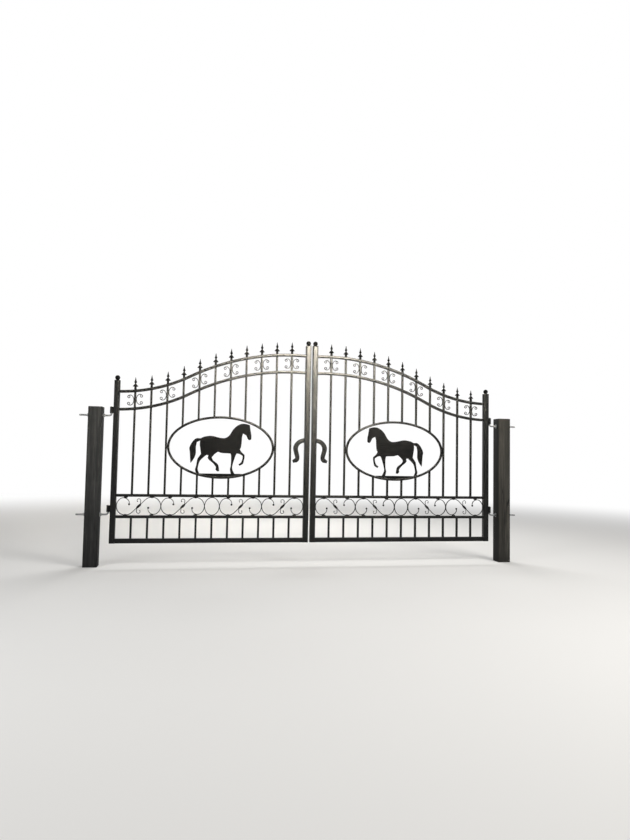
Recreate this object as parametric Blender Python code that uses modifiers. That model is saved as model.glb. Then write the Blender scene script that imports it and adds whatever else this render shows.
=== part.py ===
"""Ornamental double swing driveway gate hung between two square timber posts.

Metres, +X along the gate to the right, +Y to the back, +Z up.
The origin is the centre of the left post's foot, at ground level.
The left leaf is built first, in its own frame with the hinge pin's axis at x = 0 and the
leaf's underside at z = 0. The right leaf is its mirror image.
"""

import math

import bmesh
import bpy
from mathutils import Matrix, Vector

# Timber posts
post_side = 0.125
post_height = 1.445
post_chamfer = 0.004
post_to_stile = 0.09  # from a post's inner face to the leaf's outer face

# Leaf, measured from its own underside
leaf_width = 1.83
leaf_clearance = 0.205  # leaf's underside above the ground
meeting_gap = 0.018  # between the two leaves
stile_side = 0.050
stile_bevel = 0.003
stile_above_arch = 0.097  # a stile's top above the upper arch rail's centre
picket_count = 11
oval_crossings = 6  # pickets that end on the oval

# Rails
rail_depth = 0.032
rail_height = 0.025
bottom_rail_height = 0.042
lower_rail_z = 0.240  # centre heights of the straight rails
mid_rail_z = 0.435
arch_low_z = 1.388  # upper arch rail's centre at the hinge stile
arch_rise = 0.41
crown_to_stile = 0.13  # from the crown to the meeting stile's centre
arch_turn_share = 0.395  # where the hollow curve turns into the crowned one
arch_spacing = 0.165  # upper arch rail down to the lower one
arch_facet = 0.09  # length of one facet along the arch

# Pickets
picket_side = 0.019
picket_above_rail = 0.0065  # bare bar between the rail and the finial's socket
finial_height = 0.127  # tip above the upper arch rail's centre
finial_radius = 0.024
finial_sides = 6
scroll_every = 2  # every second picket carries a pair of C-scrolls

# C-scrolls between the arch rails
c_height = 0.100
c_width = 0.062
c_bar = 0.007
c_depth = 0.012
c_outer = 0.024  # from the C's highest point out to its end
c_drop = 0.016  # and down to it
c_hook = 0.0095  # radius of the hooked ends
c_hook_turn = math.radians(150)
c_facets = 2  # along each arc of a C
c_seat = 0.0015  # how far a scroll's back is let into the picket

# Scroll band between the mid rail and the lower rail
s_bar = 0.0065
s_depth = 0.012
s_step = 0.001  # neighbouring bars differ in depth by this
s_bud = 0.0085  # radius
s_leaf_length = 0.060
s_leaf_width = 0.018
s_leaf_depth = 0.016
s_eye_share = 0.58  # of the lobe's radius, where the bar ends in its bud
s_eye_angle = math.radians(-152)
s_curl_angle = math.radians(-60)  # where a lobe starts to curl in
s_over_facets = 5  # over a lobe, down to its outermost point
s_under_facets = 7  # and from there in to the eye
s_span_share = 2.37  # an S as drawn, its span over its height
s_ring_width = 0.142
s_ring_facets = 24
s_weld = 0.004  # how far neighbouring scrolls run together

# Oval and the figure in it
oval_half_height = 0.295
oval_z = 0.890
oval_bar = 0.022
oval_depth = 0.020
oval_facets = 40
figure_thickness = 0.006
ground_level_share = -0.903281995  # of the half height of the figure's seat in the oval

# Centre ornament
shoe_to_picket = 0.0138  # clear of the last picket
shoe_height = 0.242
shoe_z = 0.878
shoe_thickness = 0.010

# Ball caps
cap_base = 0.006
ball_radius = 0.0225
ball_neck = 0.011
ball_seat_share = 1.05  # the ball's centre above its foot, of its radius
ball_sides = 10
ball_rings = 5

# Hinges
pin_to_stile = 0.018
rod_radius = 0.008
rod_bend = 0.020
rod_tail = 0.083  # threaded end beyond the post's outer face
bend_facets = 4
pin_play = 0.0012  # between a pin and its lug, all round
pin_proud = 0.004
lug_radius = 0.015
lug_height = 0.060
lug_web = 0.012
lug_web_inset = 0.006
lower_hinge_z = 0.261  # lower rod above the leaf's underside
post_above_hinge = 0.078  # from the upper rod to the post's top
nut_radius = 0.0139
nut_thickness = 0.013
washer_radius = 0.020
washer_thickness = 0.003
collar_radius = 0.0135
collar_thickness = 0.0025
round_sides = 12

# Clearances
gap = 0.0003  # between pieces that touch
hole_play = 0.0006  # between a rod and its hole in the post
overrun = 0.01  # how far a cutter runs past what it cuts
lap = 0.003  # how far fused pieces run into each other
weld_distance = 0.00002
smooth_angle = math.radians(35)

picket_gap = (leaf_width - 2 * stile_side - picket_count * picket_side) / (picket_count + 1)
pitch = picket_gap + picket_side
stile_in = pin_to_stile + stile_side  # hinge stile's inner face
stile_mid = pin_to_stile + stile_side / 2
leaf_end = pin_to_stile + leaf_width
meeting_in = leaf_end - stile_side
meeting_mid = leaf_end - stile_side / 2
arch_run = meeting_mid - crown_to_stile - stile_mid
pin_x = post_side / 2 + post_to_stile - pin_to_stile
gate_middle = pin_x + leaf_end + meeting_gap / 2
right_post_x = 2 * gate_middle
upper_hinge_z = post_height - post_above_hinge - leaf_clearance
oval_last = picket_count - 1  # the picket beyond the oval
oval_first = oval_last - oval_crossings - 1  # the picket before it

# The figure, walking to the right, as shares of the oval's half width and half height
horse_shares = (
    (0.527, 0.738), (0.542, 0.575), (0.560, 0.405), (0.560, 0.290), (0.545, 0.262), (0.516, 0.250),
    (0.490, 0.302), (0.461, 0.402), (0.403, 0.459), (0.386, 0.360), (0.379, 0.163), (0.368, 0.017),
    (0.350, -0.039), (0.370, -0.113), (0.438, -0.221), (0.441, -0.300), (0.425, -0.444),
    (0.408, -0.517), (0.348, -0.578), (0.328, -0.530), (0.377, -0.462), (0.400, -0.345),
    (0.404, -0.260), (0.352, -0.205), (0.294, -0.182), (0.271, -0.250), (0.243, -0.396),
    (0.214, -0.590), (0.219, -0.706), (0.268, -0.870), (0.191, -0.870), (0.170, -0.692),
    (0.183, -0.588), (0.188, -0.396), (0.184, -0.245), (0.172, -0.188), (0.098, -0.183),
    (0.011, -0.176), (-0.063, -0.138), (-0.130, -0.228), (-0.174, -0.325), (-0.142, -0.420),
    (-0.068, -0.517), (-0.040, -0.614), (-0.030, -0.755), (-0.068, -0.764), (-0.100, -0.706),
    (-0.093, -0.645), (-0.107, -0.588), (-0.157, -0.493), (-0.228, -0.396), (-0.250, -0.335),
    (-0.238, -0.255), (-0.276, -0.248), (-0.343, -0.348), (-0.393, -0.444), (-0.419, -0.590),
    (-0.426, -0.711), (-0.390, -0.870), (-0.452, -0.870), (-0.477, -0.711), (-0.459, -0.590),
    (-0.441, -0.396), (-0.420, -0.323), (-0.377, -0.221), (-0.388, -0.080), (-0.402, 0.066),
    (-0.400, 0.206), (-0.455, 0.158), (-0.472, -0.007), (-0.470, -0.201), (-0.502, -0.365),
    (-0.562, -0.512), (-0.572, -0.395), (-0.583, -0.153), (-0.592, -0.030), (-0.558, 0.114),
    (-0.500, 0.243), (-0.448, 0.287), (-0.392, 0.280), (-0.333, 0.330), (-0.218, 0.366),
    (-0.132, 0.351), (-0.046, 0.316), (0.055, 0.302), (0.118, 0.352), (0.158, 0.426),
    (0.208, 0.570), (0.263, 0.672), (0.315, 0.735), (0.368, 0.772), (0.438, 0.778), (0.504, 0.752),
)

# Half of the centre ornament, as shares of its half width and height, from the crown down
shoe_shares = (
    (0.00, 1.00), (0.34, 0.99), (0.62, 0.93), (0.84, 0.80), (0.96, 0.62), (0.93, 0.44), (0.86, 0.27),
    (0.84, 0.19), (1.00, 0.10), (0.96, 0.00), (0.74, 0.02), (0.62, 0.12), (0.61, 0.28), (0.67, 0.45),
    (0.69, 0.60), (0.61, 0.72), (0.46, 0.79), (0.24, 0.83), (0.00, 0.84),
)

# Turned profiles, outer side from the top down, as (radius, height) shares
finial_shares = (
    (0.00, 1.00), (0.24, 0.74), (0.46, 0.64), (0.42, 0.54), (0.24, 0.48), (0.46, 0.37), (1.00, 0.20),
    (0.44, 0.23), (0.44, 0.00), (0.00, 0.00),
)

collection_name = "double_driveway_gate"


def clear_scene():
    for found in list(bpy.data.objects):
        bpy.data.objects.remove(found, do_unlink=True)
    for found in list(bpy.data.collections):
        bpy.data.collections.remove(found)


def new_collection(name):
    made = bpy.data.collections.new(name)
    bpy.context.scene.collection.children.link(made)
    return made


def new_material(name, colour, roughness, metallic):
    made = bpy.data.materials.new(name)
    made.use_nodes = True
    shader = made.node_tree.nodes["Principled BSDF"]
    shader.inputs["Base Color"].default_value = (*colour, 1.0)
    shader.inputs["Roughness"].default_value = roughness
    shader.inputs["Metallic"].default_value = metallic
    return made


def mesh_object(name, mesh):
    made = bpy.data.objects.new(name, mesh)
    parts.objects.link(made)
    return made


def box(name, low, high, bevel=0.0):
    """An axis-aligned box between two corners, as a primitive scaled to size."""
    mesh = bpy.data.meshes.new(name)
    shape = bmesh.new()
    bmesh.ops.create_cube(shape, size=1.0)
    low = Vector(low)
    high = Vector(high)
    size = high - low
    bmesh.ops.scale(shape, vec=size, verts=shape.verts)
    bmesh.ops.translate(shape, vec=(low + high) / 2, verts=shape.verts)
    shape.to_mesh(mesh)
    shape.free()
    made = mesh_object(name, mesh)
    if bevel:
        rounding = made.modifiers.new("rounding", "BEVEL")
        rounding.width = bevel
        rounding.segments = 1
        bake(made)
    return made


def cylinder(name, centre, radius, length, axis, sides):
    """A round bar centred on a point, along X or Z."""
    mesh = bpy.data.meshes.new(name)
    shape = bmesh.new()
    bmesh.ops.create_cone(shape, cap_ends=True, segments=sides, radius1=radius, radius2=radius, depth=length)
    if axis == "X":
        bmesh.ops.rotate(shape, matrix=Matrix.Rotation(math.pi / 2, 3, "Y"), verts=shape.verts)
    bmesh.ops.translate(shape, vec=centre, verts=shape.verts)
    shape.to_mesh(mesh)
    shape.free()
    return mesh_object(name, mesh)


def bake(made):
    """Turn an object and its modifiers into a plain mesh that stands in for it."""
    bpy.context.view_layer.update()
    seen = made.evaluated_get(bpy.context.evaluated_depsgraph_get())
    mesh = bpy.data.meshes.new_from_object(seen)
    mesh.name = made.name
    made.modifiers.clear()
    made.data = mesh
    return made


def curve_to_mesh(curve_object):
    """Turn a curve into a closed mesh, its caps welded on."""
    bpy.context.view_layer.update()
    seen = curve_object.evaluated_get(bpy.context.evaluated_depsgraph_get())
    mesh = bpy.data.meshes.new_from_object(seen)
    shape = bmesh.new()
    shape.from_mesh(mesh)
    bmesh.ops.remove_doubles(shape, verts=shape.verts, dist=weld_distance)
    bmesh.ops.recalc_face_normals(shape, faces=shape.faces)
    shape.to_mesh(mesh)
    shape.free()
    name = curve_object.name
    matrix = curve_object.matrix_world.copy()
    bpy.data.objects.remove(curve_object, do_unlink=True)
    made = mesh_object(name, mesh)
    made.matrix_world = matrix
    return made


def plate(name, outlines, thickness):
    """Flat outlines in the XZ plane, given a thickness along Y. Inner outlines are holes."""
    curve = bpy.data.curves.new(name, "CURVE")
    curve.dimensions = "2D"
    curve.fill_mode = "BOTH"
    curve.extrude = thickness / 2
    for outline in outlines:
        spline = curve.splines.new("POLY")
        spline.points.add(len(outline) - 1)
        for point, (x, z) in zip(spline.points, outline):
            point.co = (x, z, 0.0, 1.0)
        spline.use_cyclic_u = True
    made = mesh_object(name, curve)
    made.rotation_euler = (math.pi / 2, 0.0, 0.0)
    made = curve_to_mesh(made)
    made.data.transform(made.matrix_world)
    made.matrix_world = Matrix.Identity(4)
    return made


def flat_bar(name, centreline, thickness, depth):
    """A flat bar bent on edge along a centreline in the XZ plane."""
    points = [Vector(point) for point in centreline]
    left = []
    right = []
    for index, point in enumerate(points):
        before = points[max(index - 1, 0)]
        after = points[min(index + 1, len(points) - 1)]
        along = (after - before).normalized()
        side = Vector((-along.y, along.x)) * thickness / 2
        left.append(point + side)
        right.append(point - side)
    return plate(name, [left + right[::-1]], depth)


def turned(name, profile, sides):
    """A turned piece: the profile runs down its outer side, about the Z axis."""
    mesh = bpy.data.meshes.new(name)
    shape = bmesh.new()
    points = [shape.verts.new((radius, 0.0, height)) for radius, height in profile]
    for first, second in zip(points, points[1:]):
        shape.edges.new((first, second))
    shape.to_mesh(mesh)
    shape.free()
    made = mesh_object(name, mesh)
    spin = made.modifiers.new("spin", "SCREW")
    spin.steps = sides
    spin.render_steps = sides
    spin.use_merge_vertices = True
    spin.merge_threshold = weld_distance
    return bake(made)


def moved(made, x=0.0, y=0.0, z=0.0):
    made.data.transform(Matrix.Translation((x, y, z)))
    return made


def fuse(name, pieces):
    """Join overlapping solids into one."""
    first = pieces[0]
    for other in pieces[1:]:
        union = first.modifiers.new("union", "BOOLEAN")
        union.operation = "UNION"
        union.solver = "EXACT"
        union.object = other
    bake(first)
    for other in pieces[1:]:
        bpy.data.objects.remove(other, do_unlink=True)
    first.name = name
    first.data.name = name
    return first


def cut(made, cutters, operation="DIFFERENCE"):
    for cutter in cutters:
        difference = made.modifiers.new("cut", "BOOLEAN")
        difference.operation = operation
        difference.solver = "EXACT"
        difference.object = cutter
    bake(made)
    for cutter in cutters:
        bpy.data.objects.remove(cutter, do_unlink=True)
    return made


def ellipse(half_width, half_height, centre_x, centre_z, count):
    turns = [2 * math.pi * index / count for index in range(count)]
    return [(centre_x + half_width * math.cos(a), centre_z + half_height * math.sin(a)) for a in turns]


def arch_z(x):
    """Height of the upper arch rail's centre: two tangent arcs, level at both ends."""
    run = x - stile_mid
    reach = (arch_run ** 2 + arch_rise ** 2) / (2 * arch_rise)
    hollow = arch_turn_share * reach
    crown = (1 - arch_turn_share) * reach
    if run < arch_turn_share * arch_run:
        return arch_low_z + hollow - math.sqrt(hollow ** 2 - run ** 2)
    return arch_low_z + arch_rise - crown + math.sqrt(crown ** 2 - (arch_run - run) ** 2)


def picket_x(number):
    return stile_in + number * pitch - picket_side / 2


def picket_numbers():
    return range(1, picket_count + 1)


def crosses_oval(number):
    return oval_first < number < oval_last


def carries_scrolls(number):
    return number % scroll_every == 1


oval_x = (picket_x(oval_first) + picket_x(oval_last)) / 2
oval_half_width = (picket_x(oval_last) - picket_x(oval_first) - picket_side) / 2 - gap
hinge_stile_top = arch_z(stile_mid) + stile_above_arch
meeting_stile_top = arch_z(meeting_mid) + stile_above_arch


def build_stile(name, x, top):
    half = stile_side / 2
    return box(name, (x - half, -half, 0.0), (x + half, half, top), stile_bevel)


def build_ball_cap(name, x, z):
    """A square foot and a ball on a short neck."""
    half = stile_side / 2
    foot = box(name, (-half, -half, 0.0), (half, half, cap_base))
    ball_z = cap_base + ball_radius * ball_seat_share
    profile = [(0.0, ball_z + ball_radius)]
    for index in range(1, ball_rings):
        angle = math.pi * (0.5 - index / ball_rings)
        profile.append((ball_radius * math.cos(angle), ball_z + ball_radius * math.sin(angle)))
    profile.append((ball_neck, cap_base - lap))
    profile.append((0.0, cap_base - lap))
    return moved(fuse(name, [foot, turned("ball", profile, ball_sides)]), x=x, z=z + gap)


def arch_rail(name, drop):
    """A rail bent along the arch, punched for the pickets."""
    start = stile_in + gap
    end = meeting_in - gap
    count = round((end - start) / arch_facet)
    half = rail_height / 2
    places = [start + (end - start) * index / count for index in range(count + 1)]
    top = [(x, arch_z(x) - drop + half) for x in places]
    bottom = [(x, arch_z(x) - drop - half) for x in places]
    rail = plate(name, [top + bottom[::-1]], rail_depth)
    reach = picket_side / 2 + gap
    holes = []
    for number in picket_numbers():
        x = picket_x(number)
        z = arch_z(x) - drop
        low = (x - reach, -reach, z - rail_height - overrun)
        high = (x + reach, reach, z + rail_height + overrun)
        holes.append(box("hole", low, high))
    return cut(rail, holes)


def straight_rail(name, z, height):
    half = rail_depth / 2
    low = (stile_in + gap, -half, z - height / 2)
    high = (meeting_in - gap, half, z + height / 2)
    return box(name, low, high)


def oval_cutter():
    grown = ellipse(oval_half_width + gap, oval_half_height + gap, oval_x, oval_z, oval_facets)
    return plate("oval_cutter", [grown], rail_depth + overrun)


def c_scroll_line():
    """A C from end to end, its back at x = 0 and its hooked ends at +x."""
    half = (c_height - c_bar) / 2
    back = c_width - c_bar - c_outer
    end = back + c_outer
    rise = []
    shoulder = []
    hook = []
    for index in range(1, c_facets + 1):
        turn = math.pi / 2 * index / c_facets
        rise.append((back * (1 - math.cos(turn)), half * math.sin(turn)))
        shoulder.append((back + c_outer * math.sin(turn), half - c_drop * (1 - math.cos(turn))))
        turn = c_hook_turn * index / c_facets
        hook.append((end - c_hook * (1 - math.cos(turn)), half - c_drop - c_hook * math.sin(turn)))
    upper = rise + shoulder + hook
    return [(x, -z) for x, z in upper[::-1]] + [(0.0, 0.0)] + upper


def build_c_scroll(number, side):
    """One C-scroll centred between the arch rails, its back let into the picket."""
    start = picket_side / 2 - c_seat + c_bar / 2
    x = picket_x(number) + side * start
    z = arch_z(x + side * c_width / 2) - arch_spacing / 2
    placed = [(x + side * px, z + pz) for px, pz in c_scroll_line()]
    return flat_bar("c_scroll", placed, c_bar, c_depth)


def build_finial(number):
    x = picket_x(number)
    foot = rail_height / 2 + picket_above_rail
    profile = [(finial_radius * r, foot + (finial_height - foot) * h) for r, h in finial_shares]
    return moved(turned("finial", profile, finial_sides), x=x, z=arch_z(x))


def build_picket(number):
    """A square bar through both arch rails, with its finial and any C-scrolls."""
    x = picket_x(number)
    half = picket_side / 2
    bottom = mid_rail_z + rail_height / 2 + gap
    if crosses_oval(number):
        bottom = oval_z
    top = arch_z(x) + rail_height / 2 + picket_above_rail + lap
    bar = box("bar", (x - half, -half, bottom), (x + half, half, top))
    if crosses_oval(number):
        bar = cut(bar, [oval_cutter()])
    pieces = [bar, build_finial(number)]
    if carries_scrolls(number):
        pieces.append(build_c_scroll(number, -1))
        pieces.append(build_c_scroll(number, 1))
    return fuse("picket_%02d" % number, pieces)


def build_mid_rail():
    """The mid rail and the stubs that carry the oval."""
    rail = straight_rail("mid_rail", mid_rail_z, rail_height)
    half = picket_side / 2
    stubs = []
    for number in picket_numbers():
        if crosses_oval(number):
            x = picket_x(number)
            stubs.append(cut(box("stub", (x - half, -half, mid_rail_z), (x + half, half, oval_z)), [oval_cutter()]))
    return fuse("mid_rail", [rail] + stubs)


def build_foot_panel():
    """Lower rail, bottom rail and the short pickets between them."""
    lower = straight_rail("foot_panel", lower_rail_z, rail_height)
    bottom = straight_rail("bottom_rail", bottom_rail_height / 2, bottom_rail_height)
    half = picket_side / 2
    bars = []
    for number in picket_numbers():
        x = picket_x(number)
        bars.append(box("bar", (x - half, -half, bottom_rail_height / 2), (x + half, half, lower_rail_z)))
    return fuse("foot_panel", [lower] + bars + [bottom])


def s_scroll_line(lobe, centre):
    """Half of a lying S: from its middle over one lobe and in to the eye."""
    lean = math.asin(lobe / centre)
    run = math.sqrt(centre ** 2 - lobe ** 2)
    points = [(0.0, 0.0), (run * math.cos(lean), run * math.sin(lean))]
    first = math.pi / 2 + lean
    angles = [first * (1 - index / s_over_facets) for index in range(1, s_over_facets + 1)]
    angles += [s_eye_angle * index / s_under_facets for index in range(1, s_under_facets + 1)]
    for angle in angles:
        radius = lobe
        if angle < s_curl_angle:
            radius *= 1 - s_eye_share * (s_curl_angle - angle) / (s_curl_angle - s_eye_angle)
        points.append((centre + radius * math.cos(angle), radius * math.sin(angle)))
    return points


def build_s_scroll(x, z, span, height, depth):
    """One S-scroll with a bud in each eye and a leaf across its middle."""
    lobe = (height - s_bar) / 2
    centre = (s_span_share - 1) * height / 2
    stretch = (span - s_bar) / (s_span_share * height - s_bar)
    half_line = [(stretch * px, pz) for px, pz in s_scroll_line(lobe, centre)]
    line = [(-px, -pz) for px, pz in half_line[:0:-1]] + half_line[1:]
    placed = [(x + px, z + pz) for px, pz in line]
    pieces = [flat_bar("s_scroll", placed, s_bar, depth)]
    for px, pz in (placed[0], placed[-1]):
        pieces.append(bud("bud", (px, pz), (2 * s_bud, 2 * s_bud, 2 * s_bud), 0.0))
    lean = math.asin(lobe / centre)
    pieces.append(bud("leaf", (x, z), (s_leaf_length, s_leaf_depth, s_leaf_width), -lean))
    return pieces


def bud(name, place, size, turn):
    """A round or long bud, turned in the gate's plane."""
    mesh = bpy.data.meshes.new(name)
    shape = bmesh.new()
    bmesh.ops.create_uvsphere(shape, u_segments=6, v_segments=4, radius=1.0)
    bmesh.ops.scale(shape, vec=Vector(size) / 2, verts=shape.verts)
    bmesh.ops.rotate(shape, matrix=Matrix.Rotation(turn, 3, "Y"), verts=shape.verts)
    bmesh.ops.translate(shape, vec=(place[0], 0.0, place[1]), verts=shape.verts)
    shape.to_mesh(mesh)
    shape.free()
    return mesh_object(name, mesh)


def build_scroll_band():
    """Two S-scrolls, a ring and two more S-scrolls, welded end to end."""
    low = lower_rail_z + rail_height / 2 + gap
    high = mid_rail_z - rail_height / 2 - gap
    height = high - low
    z = (low + high) / 2
    start = stile_in + gap
    span = (meeting_in - gap - start - s_ring_width + 4 * s_weld) / 4
    step = span - s_weld
    ring_x = start + 2 * step + s_ring_width / 2
    outside = ellipse(s_ring_width / 2, height / 2, ring_x, z, s_ring_facets)
    inside = ellipse(s_ring_width / 2 - s_bar, height / 2 - s_bar, ring_x, z, s_ring_facets)
    pieces = [plate("scroll_ring", [outside, inside], s_depth + 2 * s_step)]
    after_ring = start + 2 * step + s_ring_width - s_weld
    for left, depth in (
        (start, s_depth),
        (start + step, s_depth + s_step),
        (after_ring, s_depth + s_step),
        (after_ring + step, s_depth),
    ):
        pieces += build_s_scroll(left + span / 2, z, span, height, depth)
    return fuse("scroll_band", pieces)


def build_oval():
    outside = ellipse(oval_half_width, oval_half_height, oval_x, oval_z, oval_facets)
    inside = ellipse(oval_half_width - oval_bar, oval_half_height - oval_bar, oval_x, oval_z, oval_facets)
    return plate("oval_ring", [outside, inside], oval_depth)


def build_figure():
    """The figure and the ground it stands on, one plate seated inside the oval."""
    outline = [(oval_x + sx * oval_half_width, oval_z + sz * oval_half_height) for sx, sz in horse_shares]
    horse = plate("horse", [outline], figure_thickness)
    half = figure_thickness / 2
    inset = oval_bar + gap
    level = oval_z + ground_level_share * (oval_half_height - inset)
    low = (oval_x - oval_half_width, -half, oval_z - oval_half_height)
    ground = box("ground", low, (oval_x + oval_half_width, half, level))
    made = fuse("horse_plate", [ground, horse])
    seat = ellipse(oval_half_width - inset, oval_half_height - inset, oval_x, oval_z, oval_facets)
    return cut(made, [plate("seat", [seat], oval_depth)], "INTERSECT")


def build_shoe():
    """One half of the centre ornament, seated against the meeting stile."""
    middle = leaf_end + meeting_gap / 2
    shoe_half_width = meeting_gap / 2 + stile_side + picket_gap - shoe_to_picket
    foot = shoe_z - shoe_height / 2
    outline = [(middle - shoe_half_width * sx, foot + shoe_height * sz) for sx, sz in shoe_shares]
    made = plate("horseshoe_half", [outline], shoe_thickness)
    side = (meeting_in - gap, -stile_side, foot - overrun)
    far = (middle + overrun, stile_side, foot + shoe_height + overrun)
    return cut(made, [box("stile_space", side, far)])


def build_lug(name, rod_z):
    """The eye on the stile that drops over a hinge pin."""
    low = rod_z + rod_bend + collar_thickness + gap
    middle = low + lug_height / 2
    eye = cylinder(name, (0.0, 0.0, middle), lug_radius, lug_height, "Z", round_sides)
    web_low = (lug_radius - lap, -lug_web / 2, low + lug_web_inset)
    web_high = (pin_to_stile - gap, lug_web / 2, low + lug_height - lug_web_inset)
    bore_length = lug_height + 2 * overrun
    bore = cylinder("bore", (0.0, 0.0, middle), rod_radius + pin_play, bore_length, "Z", round_sides)
    return cut(fuse(name, [eye, box("web", web_low, web_high)]), [bore])


def build_hinge_bolt(name, rod_z):
    """A threaded rod through the post, bent up into a pin, with its nuts and washers."""
    centre_z = leaf_clearance + rod_z
    pin_top = rod_bend + collar_thickness + gap + lug_height + pin_proud
    line = [(-post_side / 2 - rod_tail, 0.0)]
    for index in range(bend_facets + 1):
        angle = math.pi / 2 * index / bend_facets
        line.append((pin_x - rod_bend * (1 - math.sin(angle)), rod_bend * (1 - math.cos(angle))))
    line.append((pin_x, pin_top))
    curve = bpy.data.curves.new(name, "CURVE")
    curve.dimensions = "3D"
    curve.bevel_depth = rod_radius
    curve.bevel_resolution = 2
    curve.use_fill_caps = True
    spline = curve.splines.new("POLY")
    spline.points.add(len(line) - 1)
    for point, (x, z) in zip(spline.points, line):
        point.co = (x, 0.0, centre_z + z, 1.0)
    pieces = [curve_to_mesh(mesh_object(name, curve))]
    for side in (-1, 1):
        face = post_side / 2 + gap
        washer = (side * (face + washer_thickness / 2), 0.0, centre_z)
        nut = (side * (face + washer_thickness - gap + nut_thickness / 2), 0.0, centre_z)
        pieces.append(cylinder("washer", washer, washer_radius, washer_thickness, "X", round_sides))
        pieces.append(cylinder("nut", nut, nut_radius, nut_thickness, "X", 6))
    collar = (pin_x, 0.0, centre_z + rod_bend + collar_thickness / 2)
    pieces.append(cylinder("collar", collar, collar_radius, collar_thickness, "Z", round_sides))
    return fuse(name, pieces)


def build_post(name):
    half = post_side / 2
    post = box(name, (-half, -half, 0.0), (half, half, post_height), post_chamfer)
    holes = []
    for height in (lower_hinge_z, upper_hinge_z):
        centre = (0.0, 0.0, leaf_clearance + height)
        length = post_side + 2 * overrun
        holes.append(cylinder("hole", centre, rod_radius + hole_play, length, "X", round_sides))
    return cut(post, holes)


def mirrored_copy(made, name):
    """The same piece seen in a mirror across its own x = 0."""
    mesh = made.data.copy()
    mesh.transform(Matrix.Scale(-1, 4, (1, 0, 0)))
    mesh.flip_normals()
    mesh.name = name
    return mesh_object(name, mesh)


def centre_origin(made):
    """Put an object's origin at the middle of its mesh, which stays where it is."""
    corners = [vertex.co for vertex in made.data.vertices]
    middle = Vector([(min(c[i] for c in corners) + max(c[i] for c in corners)) / 2 for i in range(3)])
    made.data.transform(Matrix.Translation(-middle))
    made.location = middle


def finish(made, material):
    made.data.materials.clear()
    made.data.materials.append(material)
    made.data.shade_smooth()
    made.data.set_sharp_from_angle(angle=smooth_angle)


def empty(name, x):
    made = bpy.data.objects.new(name, None)
    made.empty_display_size = stile_side
    made.location = (x, 0.0, leaf_clearance)
    parts.objects.link(made)
    return made


clear_scene()
parts = new_collection(collection_name)

black_paint = new_material("black_paint", (0.012, 0.012, 0.013), 0.38, 0.0)
cast_black = new_material("cast_black", (0.016, 0.016, 0.017), 0.55, 0.0)
hinge_zinc = new_material("hinge_zinc", (0.46, 0.46, 0.45), 0.45, 1.0)
post_timber = new_material("post_timber", (0.075, 0.058, 0.045), 0.8, 0.0)

painted = [
    build_stile("hinge_stile", stile_mid, hinge_stile_top),
    build_stile("meeting_stile", meeting_mid, meeting_stile_top),
    arch_rail("upper_arch_rail", 0.0),
    arch_rail("lower_arch_rail", arch_spacing),
    build_mid_rail(),
    build_foot_panel(),
    build_scroll_band(),
    build_oval(),
    build_lug("lower_hinge_lug", lower_hinge_z),
    build_lug("upper_hinge_lug", upper_hinge_z),
]
painted += [build_picket(number) for number in picket_numbers()]
cast = [
    build_ball_cap("hinge_stile_ball", stile_mid, hinge_stile_top),
    build_ball_cap("meeting_stile_ball", meeting_mid, meeting_stile_top),
    build_figure(),
    build_shoe(),
]

left_pivot = empty("left_leaf_pivot", pin_x)
right_pivot = empty("right_leaf_pivot", right_post_x - pin_x)
for pieces, material in ((painted, black_paint), (cast, cast_black)):
    for left in pieces:
        right = mirrored_copy(left, "right_" + left.name)
        left.name = "left_" + left.name
        for made, pivot in ((left, left_pivot), (right, right_pivot)):
            centre_origin(made)
            made.parent = pivot
            finish(made, material)

fixed = [
    (build_post("post"), post_timber),
    (build_hinge_bolt("lower_hinge_bolt", lower_hinge_z), hinge_zinc),
    (build_hinge_bolt("upper_hinge_bolt", upper_hinge_z), hinge_zinc),
]
for left, material in fixed:
    right = mirrored_copy(left, "right_" + left.name)
    left.name = "left_" + left.name
    for made in (left, right):
        centre_origin(made)
        finish(made, material)
    right.location.x += right_post_x
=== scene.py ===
# Double swing driveway gate: the finishes and the fine pieces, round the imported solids.
# Everything is in metres. The left leaf is made first and the right one is its mirror image.
import math

import bmesh
import bpy
from mathutils import Matrix, Vector


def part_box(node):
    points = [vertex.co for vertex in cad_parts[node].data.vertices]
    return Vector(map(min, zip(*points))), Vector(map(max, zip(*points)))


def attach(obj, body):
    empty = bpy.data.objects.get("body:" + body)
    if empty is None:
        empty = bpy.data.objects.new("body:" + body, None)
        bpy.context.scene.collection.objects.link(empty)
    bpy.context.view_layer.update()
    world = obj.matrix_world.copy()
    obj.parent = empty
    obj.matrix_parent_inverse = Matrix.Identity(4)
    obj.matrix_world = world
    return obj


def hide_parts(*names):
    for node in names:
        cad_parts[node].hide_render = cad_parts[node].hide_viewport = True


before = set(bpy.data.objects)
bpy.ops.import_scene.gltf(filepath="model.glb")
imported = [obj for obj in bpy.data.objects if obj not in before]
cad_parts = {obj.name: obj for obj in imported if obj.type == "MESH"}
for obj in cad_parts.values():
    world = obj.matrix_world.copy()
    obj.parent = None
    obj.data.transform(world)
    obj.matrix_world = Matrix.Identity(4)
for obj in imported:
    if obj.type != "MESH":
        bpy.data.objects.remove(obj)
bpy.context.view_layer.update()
print("frame loaded")

# Driving sizes of a leaf. Heights are above its underside.
leafSizes = {
    "pickets": 11,
    "picketsOnOval": 6,
    "picketSide": 0.019,
    "railHeight": 0.025,
    "railDepth": 0.032,
    "bottomRailHeight": 0.042,
    "lowerRail": 0.240,
    "midRail": 0.435,
    "archLow": 1.388,
    "archRise": 0.41,
    "archTurnShare": 0.395,
    "crownToStile": 0.13,
    "archSpacing": 0.165,
    "intoOval": 0.004,  # how far a bar's end goes into the oval
}


def centreOf(box):
    return [(low + high) / 2 for low, high in zip(box[0], box[1])]


def sizeOf(box):
    return [high - low for low, high in zip(box[0], box[1])]


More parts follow.
